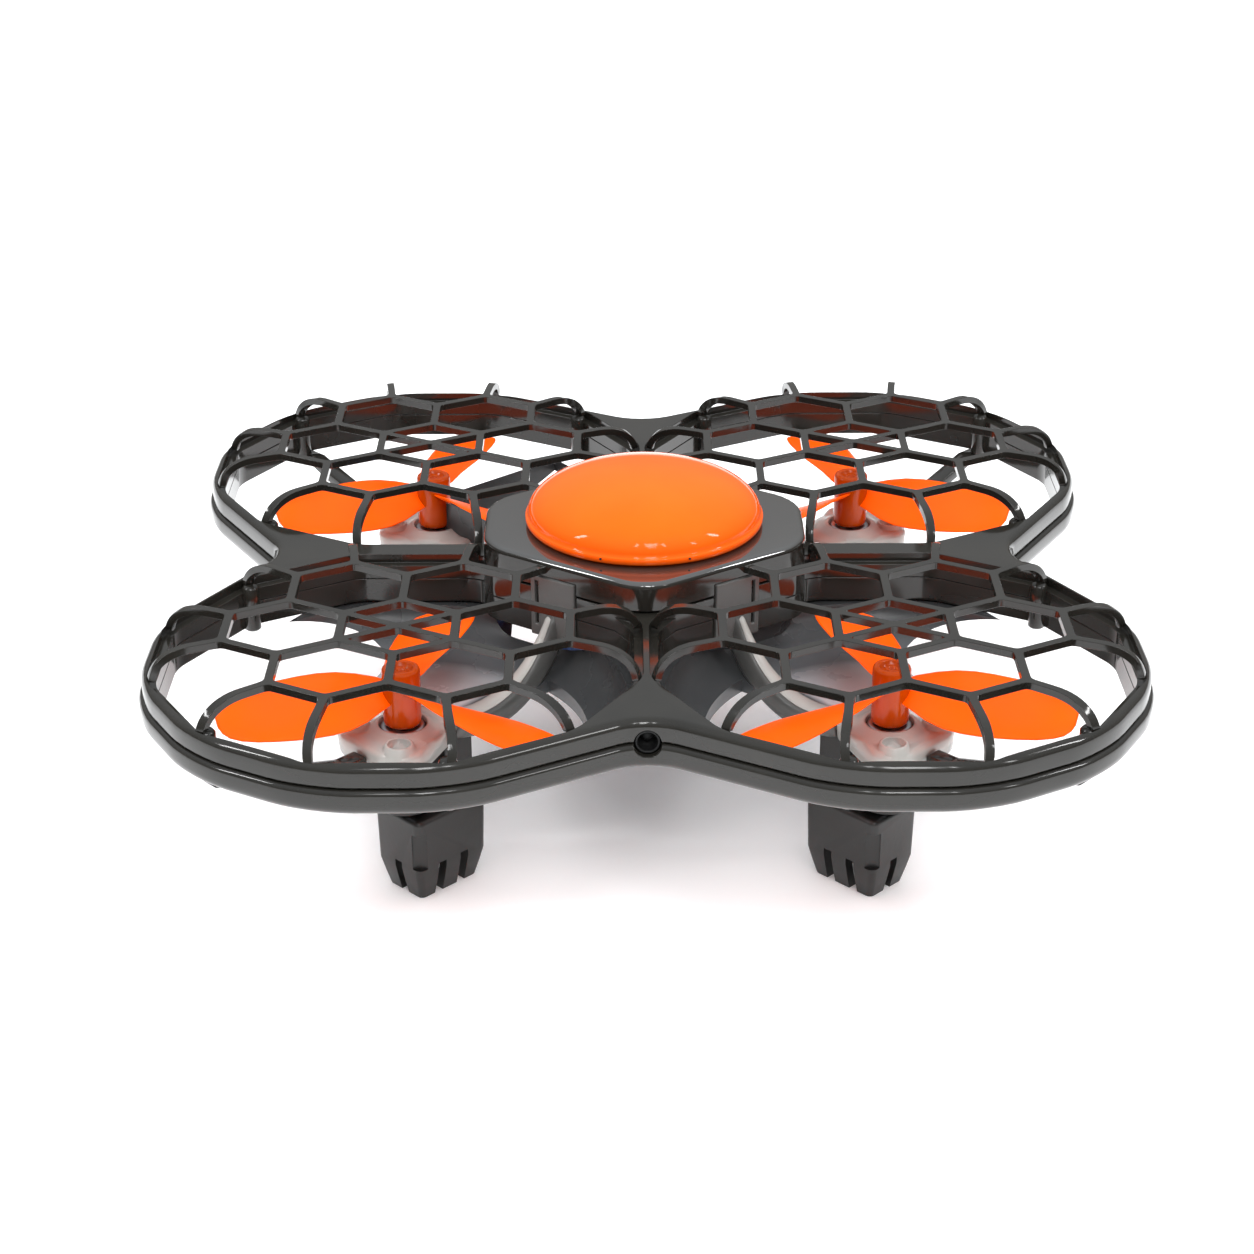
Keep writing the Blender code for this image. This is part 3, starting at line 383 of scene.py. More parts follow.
def grille_bars(side_x, side_y):
    shape = bmesh.new()
    for cell in honeycomb_cells():
        shape.faces.new([shape.verts.new((corner.x, corner.y, 0.0)) for corner in cell])
    bmesh.ops.remove_doubles(shape, verts=shape.verts, dist=0.05 * MM)
    bmesh.ops.recalc_face_normals(shape, faces=shape.faces)
    if shape.faces[0].normal.z < 0:
        bmesh.ops.reverse_faces(shape, faces=shape.faces)
    cells = shape.faces[:]
    bmesh.ops.inset_individual(shape, faces=cells, thickness=BAR_WIDTH / 2, use_even_offset=True)
    bmesh.ops.delete(shape, geom=cells, context="FACES_ONLY")
    outer = [face for face in shape.faces
             if sum(wall_gap(point.co.xy) < 0.1 * MM - LEG_END for point in face.verts) > 1]
    bmesh.ops.delete(shape, geom=outer, context="FACES")
    long_edges = [edge for edge in shape.edges if edge.calc_length() > 3 * MM]
    bmesh.ops.subdivide_edges(shape, edges=long_edges, cuts=9, use_grid_fill=True)
    for point in shape.verts:
        gap = wall_gap(point.co.xy)
        height = GRILLE_TOP
        if gap < LEG_BEND:
            bend = min(1.0, (LEG_BEND - gap) / (LEG_BEND + LEG_END / 2)) * pi / 2
            shift = gap - LEG_BEND + (LEG_BEND + 1.2 * MM) * sin(bend)
            outward = point.co.xy.normalized() * shift
            point.co.x += outward.x
            point.co.y += outward.y
            height -= (GRILLE_TOP - RIM_TOP + 0.6 * MM) * (1 - cos(bend))
        point.co = (point.co.x + side_x * CAGE.x, point.co.y + side_y * CAGE.y, height)
    hidden = [face for face in shape.faces if min(under_deck(point.co.xy) for point in face.verts) > 0.8 * MM]
    bmesh.ops.delete(shape, geom=hidden, context="FACES")
    return shape


for side, side_x, side_y in SIDES:
    bars = settle(f"grille_bars_{side}", grille_bars(side_x, side_y), "airframe", SMOKED,
                  [f"grille_{side}"], edge=0)
    fillets = bars.modifiers.new("fillets", "SUBSURF")
    fillets.levels = fillets.render_levels = 1
    depth = bars.modifiers.new("depth", "SOLIDIFY")
    depth.thickness = BAR_DEPTH
    depth.use_even_offset = True
    soft = bars.modifiers.new("soft edges", "BEVEL")
    soft.width = 0.32 * MM
    soft.segments = 3
    soft.angle_limit = radians(45)
    soft.harden_normals = True

# ---- sensor ------------------------------------------------------------------------------------
# A small infrared eye looks out of the front notch: a black cup pressed into a bore through the frame,
# with a bead in the same black set well back inside it.
def lathe(profile, steps=48):
    """Solid turned about the upright axis; a profile that leaves the axis alone makes a ring."""
    shape = bmesh.new()
    points = [shape.verts.new((radius, 0.0, height)) for radius, height in profile]
    for start, end in zip(points, points[1:]):
        shape.edges.new((start, end))
    if profile[0][0] > 0:
        shape.edges.new((points[-1], points[0]))
    bmesh.ops.spin(shape, geom=shape.verts[:] + shape.edges[:], cent=(0, 0, 0), axis=(0, 0, 1),
                   angle=2 * pi, steps=steps, use_merge=True)
    bmesh.ops.remove_doubles(shape, verts=shape.verts, dist=0.004 * MM)
    bmesh.ops.recalc_face_normals(shape, faces=shape.faces)
    return shape


def in_mm(*profile):
    return [(radius * MM, height * MM) for radius, height in profile]


def moved(shape, place, turn=None):
    if turn:
        bmesh.ops.rotate(shape, verts=shape.verts, matrix=turn)
    bmesh.ops.translate(shape, verts=shape.verts, vec=place)
    return shape


eye_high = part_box("sensor_lens")[1]
facing_front = Matrix.Rotation(pi / 2, 3, "X")
eye_back = (0.0, eye_high[1], RIM_SPLIT)
SENSOR_BLACK = moulded_plastic("sensor_black", (0.003, 0.003, 0.003), (0.002, 0.002, 0.002), 0.6, 0.1,
                               900.0, 0.2)
cup = lathe(in_mm((0, 0), (1.95, 0), (1.95, 3.7), (1.8, 3.9), (1.6, 3.9), (1.5, 3.6), (1.4, 0.9), (0, 0.9)))
settle("sensor_cup", moved(cup, eye_back, facing_front), "airframe", SENSOR_BLACK,
       ["sensor_lens"], edge=0)
bead = lathe(in_mm((0, 0.7), (1.1, 0.7), (1.1, 1.2), (0.9, 1.7), (0.5, 2.0), (0, 2.1)), 32)
settle("sensor_bead", moved(bead, eye_back, facing_front), "airframe", SENSOR_BLACK,
       ["sensor_lens"], edge=0)

# ---- screw posts -------------------------------------------------------------------------------
# Round posts on the inside of the rims carry the screws that hold the two mouldings together.  Each
# stands under a grille leg, and is moulded with the upper rim.
POST_RADIUS = 1.4 * MM
for side, side_x, side_y in SIDES:
    for index, step in enumerate((1, 4, 10) if side_y > 0 else (1, 3, 10)):
        corner = cage_corner(step, -0.5 * MM)
        place = (side_x * (CAGE.x + corner.x), side_y * (CAGE.y + corner.y), 0.0)
        post = lathe([(0.0, 33.9 * MM), (0.5 * MM, 33.9 * MM), (0.55 * MM, 34.6 * MM),
                      (1.0 * MM, 34.6 * MM), (1.1 * MM, 33.8 * MM), (POST_RADIUS, 34.1 * MM),
                      (POST_RADIUS, RIM_TOP - 1.0 * MM), (1.0 * MM, RIM_TOP - 0.5 * MM),
                      (0.0, RIM_TOP - 0.4 * MM)], 28)
        settle(f"screw_post_{side}_{index + 1}", moved(post, place), "airframe", SMOKED,
               edge=0)

# ---- deck --------------------------------------------------------------------------------------
# The flat six-sided cover over the electronics is the glossiest piece: grey plastic from a polished
# mould, so clear that the dome stands in its own reflection.
POLISHED = moulded_plastic("polished_grey_plastic", (0.027, 0.025, 0.022), (0.022, 0.020, 0.018), 0.06,
                           0.02, 260.0, 0.04, 2.3)
DOME_SEAT = 17.2 * MM
shape = deck_prism(0.0, RIM_TOP + FIT, DECK_TOP, 4.6 * MM)
brim = [edge for edge in shape.edges if all(abs(point.co.z - DECK_TOP) < FIT / 10 for point in edge.verts)]
bmesh.ops.bevel(shape, geom=brim, offset=1.0 * MM, segments=5, affect="EDGES", profile=0.5, material=-1)
dome_hole = lathe([(0.0, RIM_TOP), (DOME_SEAT, RIM_TOP), (DOME_SEAT, DECK_TOP + MM), (0.0, DECK_TOP + MM)],
                  96)
shape = combined(shape, [deck_prism(-DRUM_WALL, RIM_TOP - MM, DECK_TOP - 1.8 * MM), dome_hole])
cover = settle("deck_cover", shape, "airframe", POLISHED, ["top_cover"], 0.2 * MM)
cover.data.materials.append(SMOKED)
for face in cover.data.polygons:
    face.material_index = 1 if face.normal.z < 0.6 else 0

# ---- dome --------------------------------------------------------------------------------------
# A low lens in clear orange plastic covers the lights.  Its lip rests on the deck, a ring below the
# lip fits in the deck's hole, and two tiny pegs lock it from the front.
DOME_RADIUS, DOME_BASE = 19.8 * MM, 47.6 * MM
LENS_GLOWING_ORANGE = moulded_plastic("clear_orange_plastic_painted_glow", (1.0, 0.112, 0.002), (0.98, 0.100, 0.001), 0.05, 0.02,
                              300.0, 0.03, 1.32)
lens_shader = LENS_GLOWING_ORANGE.node_tree.nodes["Principled BSDF"]
# Painted glow: a faint emission makes the lens shine, though no lamp lights it from inside.
lens_shader.inputs["Emission Color"].default_value = (1.0, 0.17, 0.004, 1.0)
lens_shader.inputs["Emission Strength"].default_value = 0.06
crown, springing = 8.2 * MM, DOME_BASE + 1.55 * MM
profile = [(0.0, springing + 6.0 * MM)]
for step in range(1, 13):
    turn = pi / 2 * (1 - step / 12)
    profile.append((15.7 * MM * cos(turn), springing + 6.0 * MM * sin(turn)))
profile += in_mm((15.7, 45.3), (16.9, 45.3), (16.9, 47.6), (19.2, 47.6), (19.55, 47.75), (19.8, 48.15),
                 (19.8, 48.75), (19.62, 48.95), (19.5, 49.0))
for step in range(1, 25):
    turn = pi / 2 * step / 24
    reach = 19.45 * MM * cos(turn) if step < 24 else 0.0
    profile.append((reach, springing + (crown - 1.05 * MM) * sin(turn)))
settle("dome", lathe(profile, 96), "airframe", LENS_GLOWING_ORANGE, ["dome_lens"], edge=0)
for name, turn in (("left", -0.37), ("right", 0.37)):
    peg = lathe(in_mm((0, -0.8), (0.2, -0.8), (0.2, 0.1), (0.12, 0.2), (0, 0.22)), 16)
    place = (DOME_RADIUS * sin(turn), -DOME_RADIUS * cos(turn), 48.5 * MM)
    peg = moved(peg, place, Matrix.Rotation(turn, 3, "Z") @ facing_front)
    settle(f"dome_peg_{name}", peg, "airframe", SENSOR_BLACK, edge=0)

# ---- circuit boards and battery ----------------------------------------------------------------
# Closed in under the dome and the deck: a green board with fine copper tracks, a white one that
# carries the lights, and a battery wrapped in blue film.
def printed(name, ground, tracks, roughness, scale):
    """Sheet material with a fine pattern of lines over its ground colour."""
    made = bpy.data.materials.new(name)
    made.use_nodes = True
    nodes, links = made.node_tree.nodes, made.node_tree.links
    shader = nodes["Principled BSDF"]
    place = nodes.new("ShaderNodeTexCoord")
    cells = nodes.new("ShaderNodeTexBrick")
    cells.inputs["Scale"].default_value = scale
    cells.inputs["Mortar Size"].default_value = 0.03
    cells.inputs["Color1"].default_value = (*ground, 1.0)
    cells.inputs["Color2"].default_value = tuple(part * 0.85 for part in ground) + (1.0,)
    cells.inputs["Mortar"].default_value = (*tracks, 1.0)
    links.new(place.outputs["Object"], cells.inputs["Vector"])
    links.new(cells.outputs["Color"], shader.inputs["Base Color"])
    grain = nodes.new("ShaderNodeTexNoise")
    grain.inputs["Scale"].default_value = 400.0
    links.new(place.outputs["Object"], grain.inputs["Vector"])
    gloss = nodes.new("ShaderNodeMapRange")
    gloss.inputs["To Min"].default_value = roughness - 0.08
    gloss.inputs["To Max"].default_value = roughness + 0.08
    links.new(grain.outputs["Fac"], gloss.inputs["Value"])
    links.new(gloss.outputs["Result"], shader.inputs["Roughness"])
    return made


for node, ground, tracks, roughness, scale in (
        ("main_board", (0.01, 0.12, 0.05), (0.25, 0.20, 0.06), 0.35, 380.0),
        ("light_board", (0.75, 0.75, 0.72), (0.50, 0.50, 0.46), 0.45, 260.0),
        ("battery", (0.02, 0.07, 0.28), (0.03, 0.10, 0.36), 0.30, 120.0)):
    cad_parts[node].material_slots[0].material = printed(f"{node}_surface", ground, tracks, roughness,
                                                              scale)

# ---- belly -------------------------------------------------------------------------------------
# The lower shell holds the battery.  Thin webs run out from it, scooped into a bowl round each rotor
# and standing up as keels between them.  It is a frosted smoky plastic with painted light and shade in
# its colour: pale low in the bowls, as if lit through from the floor, and dark higher up.
FROSTED = moulded_plastic("frosted_smoky_plastic", (0.30, 0.31, 0.32), (0.27, 0.28, 0.29), 0.28, 0.06, 420.0,
                          0.3)
frosted = FROSTED.node_tree
place = frosted.nodes.new("ShaderNodeTexCoord")
split = frosted.nodes.new("ShaderNodeSeparateXYZ")
height = frosted.nodes.new("ShaderNodeMapRange")
height.inputs["From Min"].default_value = 26.6 * MM
height.inputs["From Max"].default_value = 33.4 * MM
# Painted light and shade: low in the bowls the colour is a pale bluish grey, as if lit through from the
# floor, and higher up it turns almost black.
painted_light_ramp = frosted.nodes.new("ShaderNodeValToRGB")
painted_light_ramp.color_ramp.elements[0].color = (0.56, 0.60, 0.63, 1.0)
painted_light_ramp.color_ramp.elements[1].color = (0.035, 0.036, 0.037, 1.0)
painted_half_shade = painted_light_ramp.color_ramp.elements.new(0.14)
painted_half_shade.color = (0.085, 0.094, 0.10, 1.0)
painted_deep_shade = painted_light_ramp.color_ramp.elements.new(0.45)
painted_deep_shade.color = (0.042, 0.044, 0.046, 1.0)
mottle = frosted.nodes.new("ShaderNodeMix")
mottle.data_type = "RGBA"
mottle.blend_type = "MULTIPLY"
mottle.inputs["Factor"].default_value = 0.35
frosted.links.new(place.outputs["Object"], split.inputs["Vector"])
frosted.links.new(split.outputs["Z"], height.inputs["Value"])
reach_x, reach_y = (frosted.nodes.new("ShaderNodeMath") for axis in "xy")
for node, axis in ((reach_x, "X"), (reach_y, "Y")):
    node.operation = "ABSOLUTE"
    frosted.links.new(split.outputs[axis], node.inputs[0])
lean = frosted.nodes.new("ShaderNodeMath")
lean.operation = "SUBTRACT"
frosted.links.new(reach_y.outputs["Value"], lean.inputs[0])
frosted.links.new(reach_x.outputs["Value"], lean.inputs[1])
# More painted shade: darker where the shell lies nearer the front or rear than the sides.
end_shade = frosted.nodes.new("ShaderNodeMapRange")
end_shade.inputs["From Min"].default_value = -3.0 * MM
end_shade.inputs["From Max"].default_value = 3.0 * MM
end_shade.inputs["To Max"].default_value = 0.4
frosted.links.new(lean.outputs["Value"], end_shade.inputs["Value"])
painted_shade_factor = frosted.nodes.new("ShaderNodeMath")
frosted.links.new(height.outputs["Result"], painted_shade_factor.inputs[0])
frosted.links.new(end_shade.outputs["Result"], painted_shade_factor.inputs[1])
frosted.links.new(painted_shade_factor.outputs["Value"], painted_light_ramp.inputs["Fac"])
frosted.links.new(painted_light_ramp.outputs["Color"], mottle.inputs["A"])
cloud_tone = [node for node in frosted.nodes if node.type == "VALTORGB" and node != painted_light_ramp][0]
cloud_tone.color_ramp.elements[0].color = (0.7, 0.7, 0.7, 1.0)
cloud_tone.color_ramp.elements[1].color = (1.0, 1.0, 1.0, 1.0)
frosted.links.new(cloud_tone.outputs["Color"], mottle.inputs["B"])
frosted.links.new(mottle.outputs["Result"], frosted.nodes["Principled BSDF"].inputs["Base Color"])

ROTOR = Vector((38.0, 39.5)) * MM
BELLY_TOP, BELLY_BOTTOM, WEB_BOTTOM = 33.9 * MM, 22.0 * MM, 25.8 * MM


def tapered_core(inset, bottom, top, share=0.84):
    shape = deck_prism(-inset, bottom, top, 2.6 * MM)
    for point in shape.verts:
        if point.co.z < (bottom + top) / 2:
            point.co.x *= share
            point.co.y *= share
    return shape


def bowl():
    """What a rotor's bowl takes away: open in the middle, then a floor that sweeps up to the rim."""
    profile = [(0.0, 20.0 * MM), (13.0 * MM, 20.0 * MM), (13.0 * MM, 26.6 * MM), (22.0 * MM, 27.0 * MM)]
    for step in range(1, 13):
        turn = pi / 2 * step / 12
        profile.append((22.0 * MM + 13.5 * MM * sin(turn), 27.0 * MM + 7.6 * MM * (1 - cos(turn))))
    profile += [(36.0 * MM, 50.0 * MM), (0.0, 50.0 * MM)]
    return lathe(profile, 72)


def front_cut(side_x, side_y):
    """Wedge between an arm and the nearer front or rear keel, open as far as a wide circle."""
    shape = bmesh.new()
    bmesh.ops.create_circle(shape, cap_ends=True, segments=96, radius=29.0 * MM)
    for turn, sign in ((radians(40), -1), (radians(-42), 1)):
        across = Vector((-sin(turn), cos(turn), 0.0)) * -sign
        everything = shape.verts[:] + shape.edges[:] + shape.faces[:]
        bmesh.ops.bisect_plane(shape, geom=everything, plane_co=(0, 0, 0), plane_no=across,
                               clear_outer=True)
    for point in shape.verts:
        point.co.x = side_x * (ROTOR.x - point.co.x)
        point.co.y = side_y * (ROTOR.y - point.co.y)
    raise_prism(shape, 20 * MM, 40 * MM)
    return shape


webs = frame_shape(-1.0 * MM, WEB_BOTTOM, BELLY_TOP, 0.3 * MM, 0.6 * MM)
bowls = [moved(bowl(), (side_x * ROTOR.x, side_y * ROTOR.y, 0.0)) for name, side_x, side_y in SIDES]
keels = combined(webs, bowls)
keels = combined(keels, [front_cut(side_x, side_y) for name, side_x, side_y in SIDES])
outside = frame_shape(-4.0 * MM, WEB_BOTTOM - MM, BELLY_TOP + MM, 0.3 * MM, 0.3 * MM)
for point in outside.verts:
    share = 0.58 + 0.42 * (point.co.z - WEB_BOTTOM) / (BELLY_TOP - WEB_BOTTOM)
    point.co.x *= share
    point.co.y *= share
keels = combined(keels, [outside], "INTERSECT")
shape = combined(keels, [tapered_core(1.2 * MM, BELLY_BOTTOM, BELLY_TOP)], "UNION")
door_low, door_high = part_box("battery_door")
button_low, button_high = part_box("power_button")
button_y = (button_low[1] + button_high[1]) / 2
doorway = bmesh.new()
bmesh.ops.create_cube(doorway, size=1.0)
bmesh.ops.scale(doorway, verts=doorway.verts, vec=(24 * MM, 18 * MM, 8 * MM))
button_hole = lathe([(0.0, 18 * MM), (2.7 * MM, 18 * MM), (2.7 * MM, 26 * MM), (0.0, 26 * MM)])
socket_low, socket_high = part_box("charge_socket")
window = bmesh.new()
bmesh.ops.create_cube(window, size=1.0)
bmesh.ops.scale(window, verts=window.verts, vec=(7.4 * MM, 22 * MM, 2.6 * MM))
socket_z = (socket_low[2] + socket_high[2]) / 2
shape = combined(shape, [tapered_core(2.7 * MM, BELLY_BOTTOM + 1.5 * MM, BELLY_TOP + MM),
                         moved(doorway, (0, 0, BELLY_BOTTOM)), moved(button_hole, (0, button_y, 0)),
                         moved(window, (0, socket_low[1] + 11 * MM, socket_z))])
settle("belly_shell_and_webs", shape, "airframe", FROSTED, ["belly_shell"], 0.3 * MM, 3, 45)

# ---- battery door and power button -------------------------------------------------------------
# Under the belly a flat door hinges down on two lugs for the battery, with ribs for a fingernail.
# Behind it an orange button with a dished face stands in its hole.
DARK_PLASTIC = moulded_plastic("dark_grey_plastic", (0.014, 0.0135, 0.0125), (0.010, 0.0097, 0.009),
                               0.34, 0.08, 900.0, 0.35)
shape = bmesh.new()
half_x, half_y = 11.7 * MM, 8.7 * MM
outline_face(shape, [(half_x, -half_y), (half_x, half_y), (-half_x, half_y), (-half_x, -half_y)],
             [1.2 * MM] * 4)
raise_prism(shape, door_low[2], door_high[2])
ribs = []
for step in range(4):
    rib = bmesh.new()
    bmesh.ops.create_cube(rib, size=1.0)
    bmesh.ops.scale(rib, verts=rib.verts, vec=(9 * MM, 0.5 * MM, 0.8 * MM))
    ribs.append(moved(rib, (0, -7.0 * MM + step * 1.1 * MM, door_low[2])))
shape = combined(shape, ribs, "UNION")
settle("battery_door_leaf", shape, "door", DARK_PLASTIC, ["battery_door"], 0.25 * MM, 3)
ORANGE_PLASTIC = moulded_plastic("orange_plastic", (1.0, 0.150, 0.002), (0.95, 0.132, 0.001), 0.30, 0.06,
                                 500.0, 0.2)
low, high = button_low[2], button_high[2]
cap = lathe([(0.0, low + 0.25 * MM), (1.2 * MM, low + 0.12 * MM), (1.9 * MM, low),
             (2.2 * MM, low + 0.05 * MM), (2.4 * MM, low + 0.3 * MM), (2.4 * MM, high), (0.0, high)])
settle("button_cap", moved(cap, (0, button_y, 0)), "button", ORANGE_PLASTIC,
       ["power_button"], edge=0)
socket_shape = bmesh.new()
bmesh.ops.create_cube(socket_shape, size=1.0)
bmesh.ops.scale(socket_shape, verts=socket_shape.verts, vec=(7.4 * MM, 5 * MM, 2.6 * MM))
mouth = bmesh.new()
bmesh.ops.create_cube(mouth, size=1.0)
bmesh.ops.scale(mouth, verts=mouth.verts, vec=(6.4 * MM, 5 * MM, 1.6 * MM))
tongue = bmesh.new()
bmesh.ops.create_cube(tongue, size=1.0)
bmesh.ops.scale(tongue, verts=tongue.verts, vec=(4.4 * MM, 3.6 * MM, 0.5 * MM))
socket_shape = combined(socket_shape, [moved(mouth, (0, 1 * MM, 0))])
socket_shape = combined(socket_shape, [moved(tongue, (0, -0.4 * MM, 0))], "UNION")
socket_y = (socket_low[1] + socket_high[1]) / 2


def brushed_metal(name, colour, shade, roughness, scale):
    """Bare metal with fine drawn lines round or along it."""
    made = bpy.data.materials.new(name)
    made.use_nodes = True
    nodes, links = made.node_tree.nodes, made.node_tree.links
    shader = nodes["Principled BSDF"]
    shader.inputs["Metallic"].default_value = 1.0
    place = nodes.new("ShaderNodeTexCoord")
    stretch = nodes.new("ShaderNodeMapping")
    stretch.inputs["Scale"].default_value = (1.0, 1.0, 12.0)
    lines = nodes.new("ShaderNodeTexNoise")
    lines.inputs["Scale"].default_value = scale
    lines.inputs["Detail"].default_value = 5.0
    tone = nodes.new("ShaderNodeValToRGB")
    tone.color_ramp.elements[0].color = (*shade, 1.0)
    tone.color_ramp.elements[1].color = (*colour, 1.0)
    gloss = nodes.new("ShaderNodeMapRange")
    gloss.inputs["To Min"].default_value = roughness - 0.07
    gloss.inputs["To Max"].default_value = roughness + 0.10
    links.new(place.outputs["Object"], stretch.inputs["Vector"])
    links.new(stretch.outputs["Vector"], lines.inputs["Vector"])
    links.new(lines.outputs["Fac"], tone.inputs["Fac"])
    links.new(tone.outputs["Color"], shader.inputs["Base Color"])
    links.new(lines.outputs["Fac"], gloss.inputs["Value"])
    links.new(gloss.outputs["Result"], shader.inputs["Roughness"])
    return made


BRIGHT_STEEL = brushed_metal("bright_steel", (0.66, 0.66, 0.67), (0.50, 0.50, 0.52), 0.26, 600.0)
MOTOR_STEEL = brushed_metal("motor_steel", (0.52, 0.53, 0.55), (0.36, 0.37, 0.39), 0.34, 500.0)
settle("charge_socket_shell", moved(socket_shape, (0, socket_y, socket_z)), "airframe", BRIGHT_STEEL,
       ["charge_socket"], 0.12 * MM)

# ---- motor pods --------------------------------------------------------------------------------
# Each motor stands in a pale plate with rounded corners.  The plate swells round the motor's collar,
# and two raised rings on it take slotted screws from above; a tube below holds the motor.
POD_TOP, POD_BOTTOM, SCREW_REACH, BOSS = 29.2 * MM, 25.6 * MM, 7.4 * MM, 2.9 * MM
PALE = moulded_plastic("pale_plastic", (0.40, 0.39, 0.365), (0.355, 0.345, 0.325), 0.24, 0.06, 600.0, 0.2)
SCREW_GREY = moulded_plastic("pale_screw", (0.24, 0.20, 0.19), (0.18, 0.155, 0.15), 0.3, 0.08, 900.0, 0.3)


def along_arm(side_x, side_y, along, across=0.0):
    """Point from a rotor's axis towards the middle of the drone, and sideways to that."""
    inward, sideways = Vector((-side_x, -side_y)) / sqrt(2), Vector((-side_x, side_y)) / sqrt(2)
    return Vector((side_x * ROTOR.x, side_y * ROTOR.y)) + inward * along + sideways * across


for side, side_x, side_y in SIDES:
    axis = Vector((side_x * ROTOR.x, side_y * ROTOR.y))
    near, far = axis + Vector((side_x * SCREW_REACH, 0)), axis + Vector((0, side_y * SCREW_REACH))
    corners = [near + Vector((side_x * BOSS, -side_y * BOSS)), near + Vector((side_x, side_y * 0.6)) * BOSS,
               far + Vector((side_x * 0.6, side_y)) * BOSS, far + Vector((-side_x * BOSS, side_y * BOSS)),
               along_arm(side_x, side_y, 9 * MM, -3.2 * MM), along_arm(side_x, side_y, 9 * MM, 3.2 * MM)]
    middle = sum(corners, Vector((0, 0))) / 6
    corners.sort(key=lambda corner: Vector((1, 0)).angle_signed(corner - middle), reverse=True)
    plate = bmesh.new()
    outline_face(plate, corners, [2.2 * MM] * 6, 6)
    raise_prism(plate, POD_BOTTOM, POD_TOP)
    for point in plate.verts:
        if point.co.z < POD_BOTTOM + FIT:
            point.co.xy = middle + (point.co.xy - middle) * 0.97
    mound = lathe(in_mm((3.8, 27.5), (3.8, 29.95), (3.95, 30.08), (4.3, 30.05), (4.9, 29.72), (5.7, 29.38),
                        (6.8, 29.15), (6.8, 27.5)), 56)
    tube = lathe(in_mm((3.8, 15.9), (4.7, 15.9), (4.9, 16.1), (4.9, 25.5), (3.8, 25.5)), 48)
    extra = [moved(mound, (*axis, 0))]
    settle(f"motor_sleeve_{side}", moved(tube, (*axis, 0)), "airframe", DARK_PLASTIC,
           [f"motor_pod_{side}"], edge=0)
    bore = lathe([(0.0, 10 * MM), (3.8 * MM, 10 * MM), (3.8 * MM, 40 * MM), (0.0, 40 * MM)], 48)
    holes = [moved(bore, (*axis, 0))]
    for place in (near, far):
        ring = lathe(in_mm((1.7, 28.4), (1.72, 30.05), (1.86, 30.2), (2.05, 30.2), (2.25, 30.05), (2.4, 29.5),
                           (2.7, 29.12), (2.7, 28.4)), 40)
        extra.append(moved(ring, (*place, 0)))
        recess = lathe(in_mm((0, 27.9), (1.7, 27.9), (1.7, 32), (0, 32)), 40)
        holes.append(moved(recess, (*place, 0)))
    edges = [edge for edge in plate.edges if all(point.co.z > POD_TOP - FIT / 10 for point in edge.verts)]
    bmesh.ops.bevel(plate, geom=edges, offset=0.9 * MM, segments=4, affect="EDGES", profile=0.5, material=-1)
    shape = combined(combined(plate, holes), extra, "UNION")
    settle(f"pod_{side}", shape, "airframe", PALE, [f"motor_pod_{side}"], edge=0)
    for index, place in enumerate((near, far)):
        head = lathe(in_mm((0, 27.9), (1.62, 27.9), (1.62, 28.5), (1.4, 28.7), (0.8, 28.8), (0, 28.82)), 32)
        slot_cut = bmesh.new()
        bmesh.ops.create_cube(slot_cut, size=1.0)
        bmesh.ops.scale(slot_cut, verts=slot_cut.verts, vec=(1.7 * MM, 0.6 * MM, 1.4 * MM))
        head = combined(head, [moved(slot_cut, (0, 0, 29.0 * MM))])
        settle(f"screw_head_{side}_{index + 1}", moved(head, (*place, 0)), "airframe", SCREW_GREY,
               [f"screw_{side}_{index + 1}"], 0.08 * MM)
    can = lathe(in_mm((0, 16.6), (1.3, 16.6), (1.3, 16.9), (2.9, 17.0), (3.3, 17.2), (3.5, 17.5), (3.5, 28.2),
                      (3.3, 28.6), (1.3, 28.6), (1.3, 28.8), (0, 28.8)), 48)
    settle(f"motor_can_{side}", moved(can, (*axis, 0)), "airframe", MOTOR_STEEL,
           [f"motor_{side}"], edge=0)
    collar = lathe(in_mm((0.8, 28.7), (3.5, 28.7), (3.5, 29.5), (3.35, 29.72), (2.9, 29.78),
                         (0.8, 29.78)), 40)
    settle(f"motor_collar_{side}", moved(collar, (*axis, 0)), "airframe", MOTOR_STEEL,
           edge=0)

# ---- arms --------------------------------------------------------------------------------------
# A curved rib sweeps in from each pod below the rotor and climbs the centre body's wall, thinning as
# it goes.  Beside its upper end a flat grey panel closes the wall, with a dark slit along its edge.
ARM_GREY_AND_SHADE = moulded_plastic("arm_grey_plastic_and_painted_shade", (0.078, 0.077, 0.073), (0.060, 0.059, 0.056), 0.3, 0.06,
                            600.0, 0.2)


def rib_path(share):
    """Reach from the rotor's axis and height of the rib's crest, from its pod up to its tip."""
    start, knee, tip = Vector((9.0, 28.4)), Vector((24.4, 23.4)), Vector((31.8, 38.6))
    return ((1 - share) ** 2 * start + 2 * share * (1 - share) * knee + share ** 2 * tip) * MM


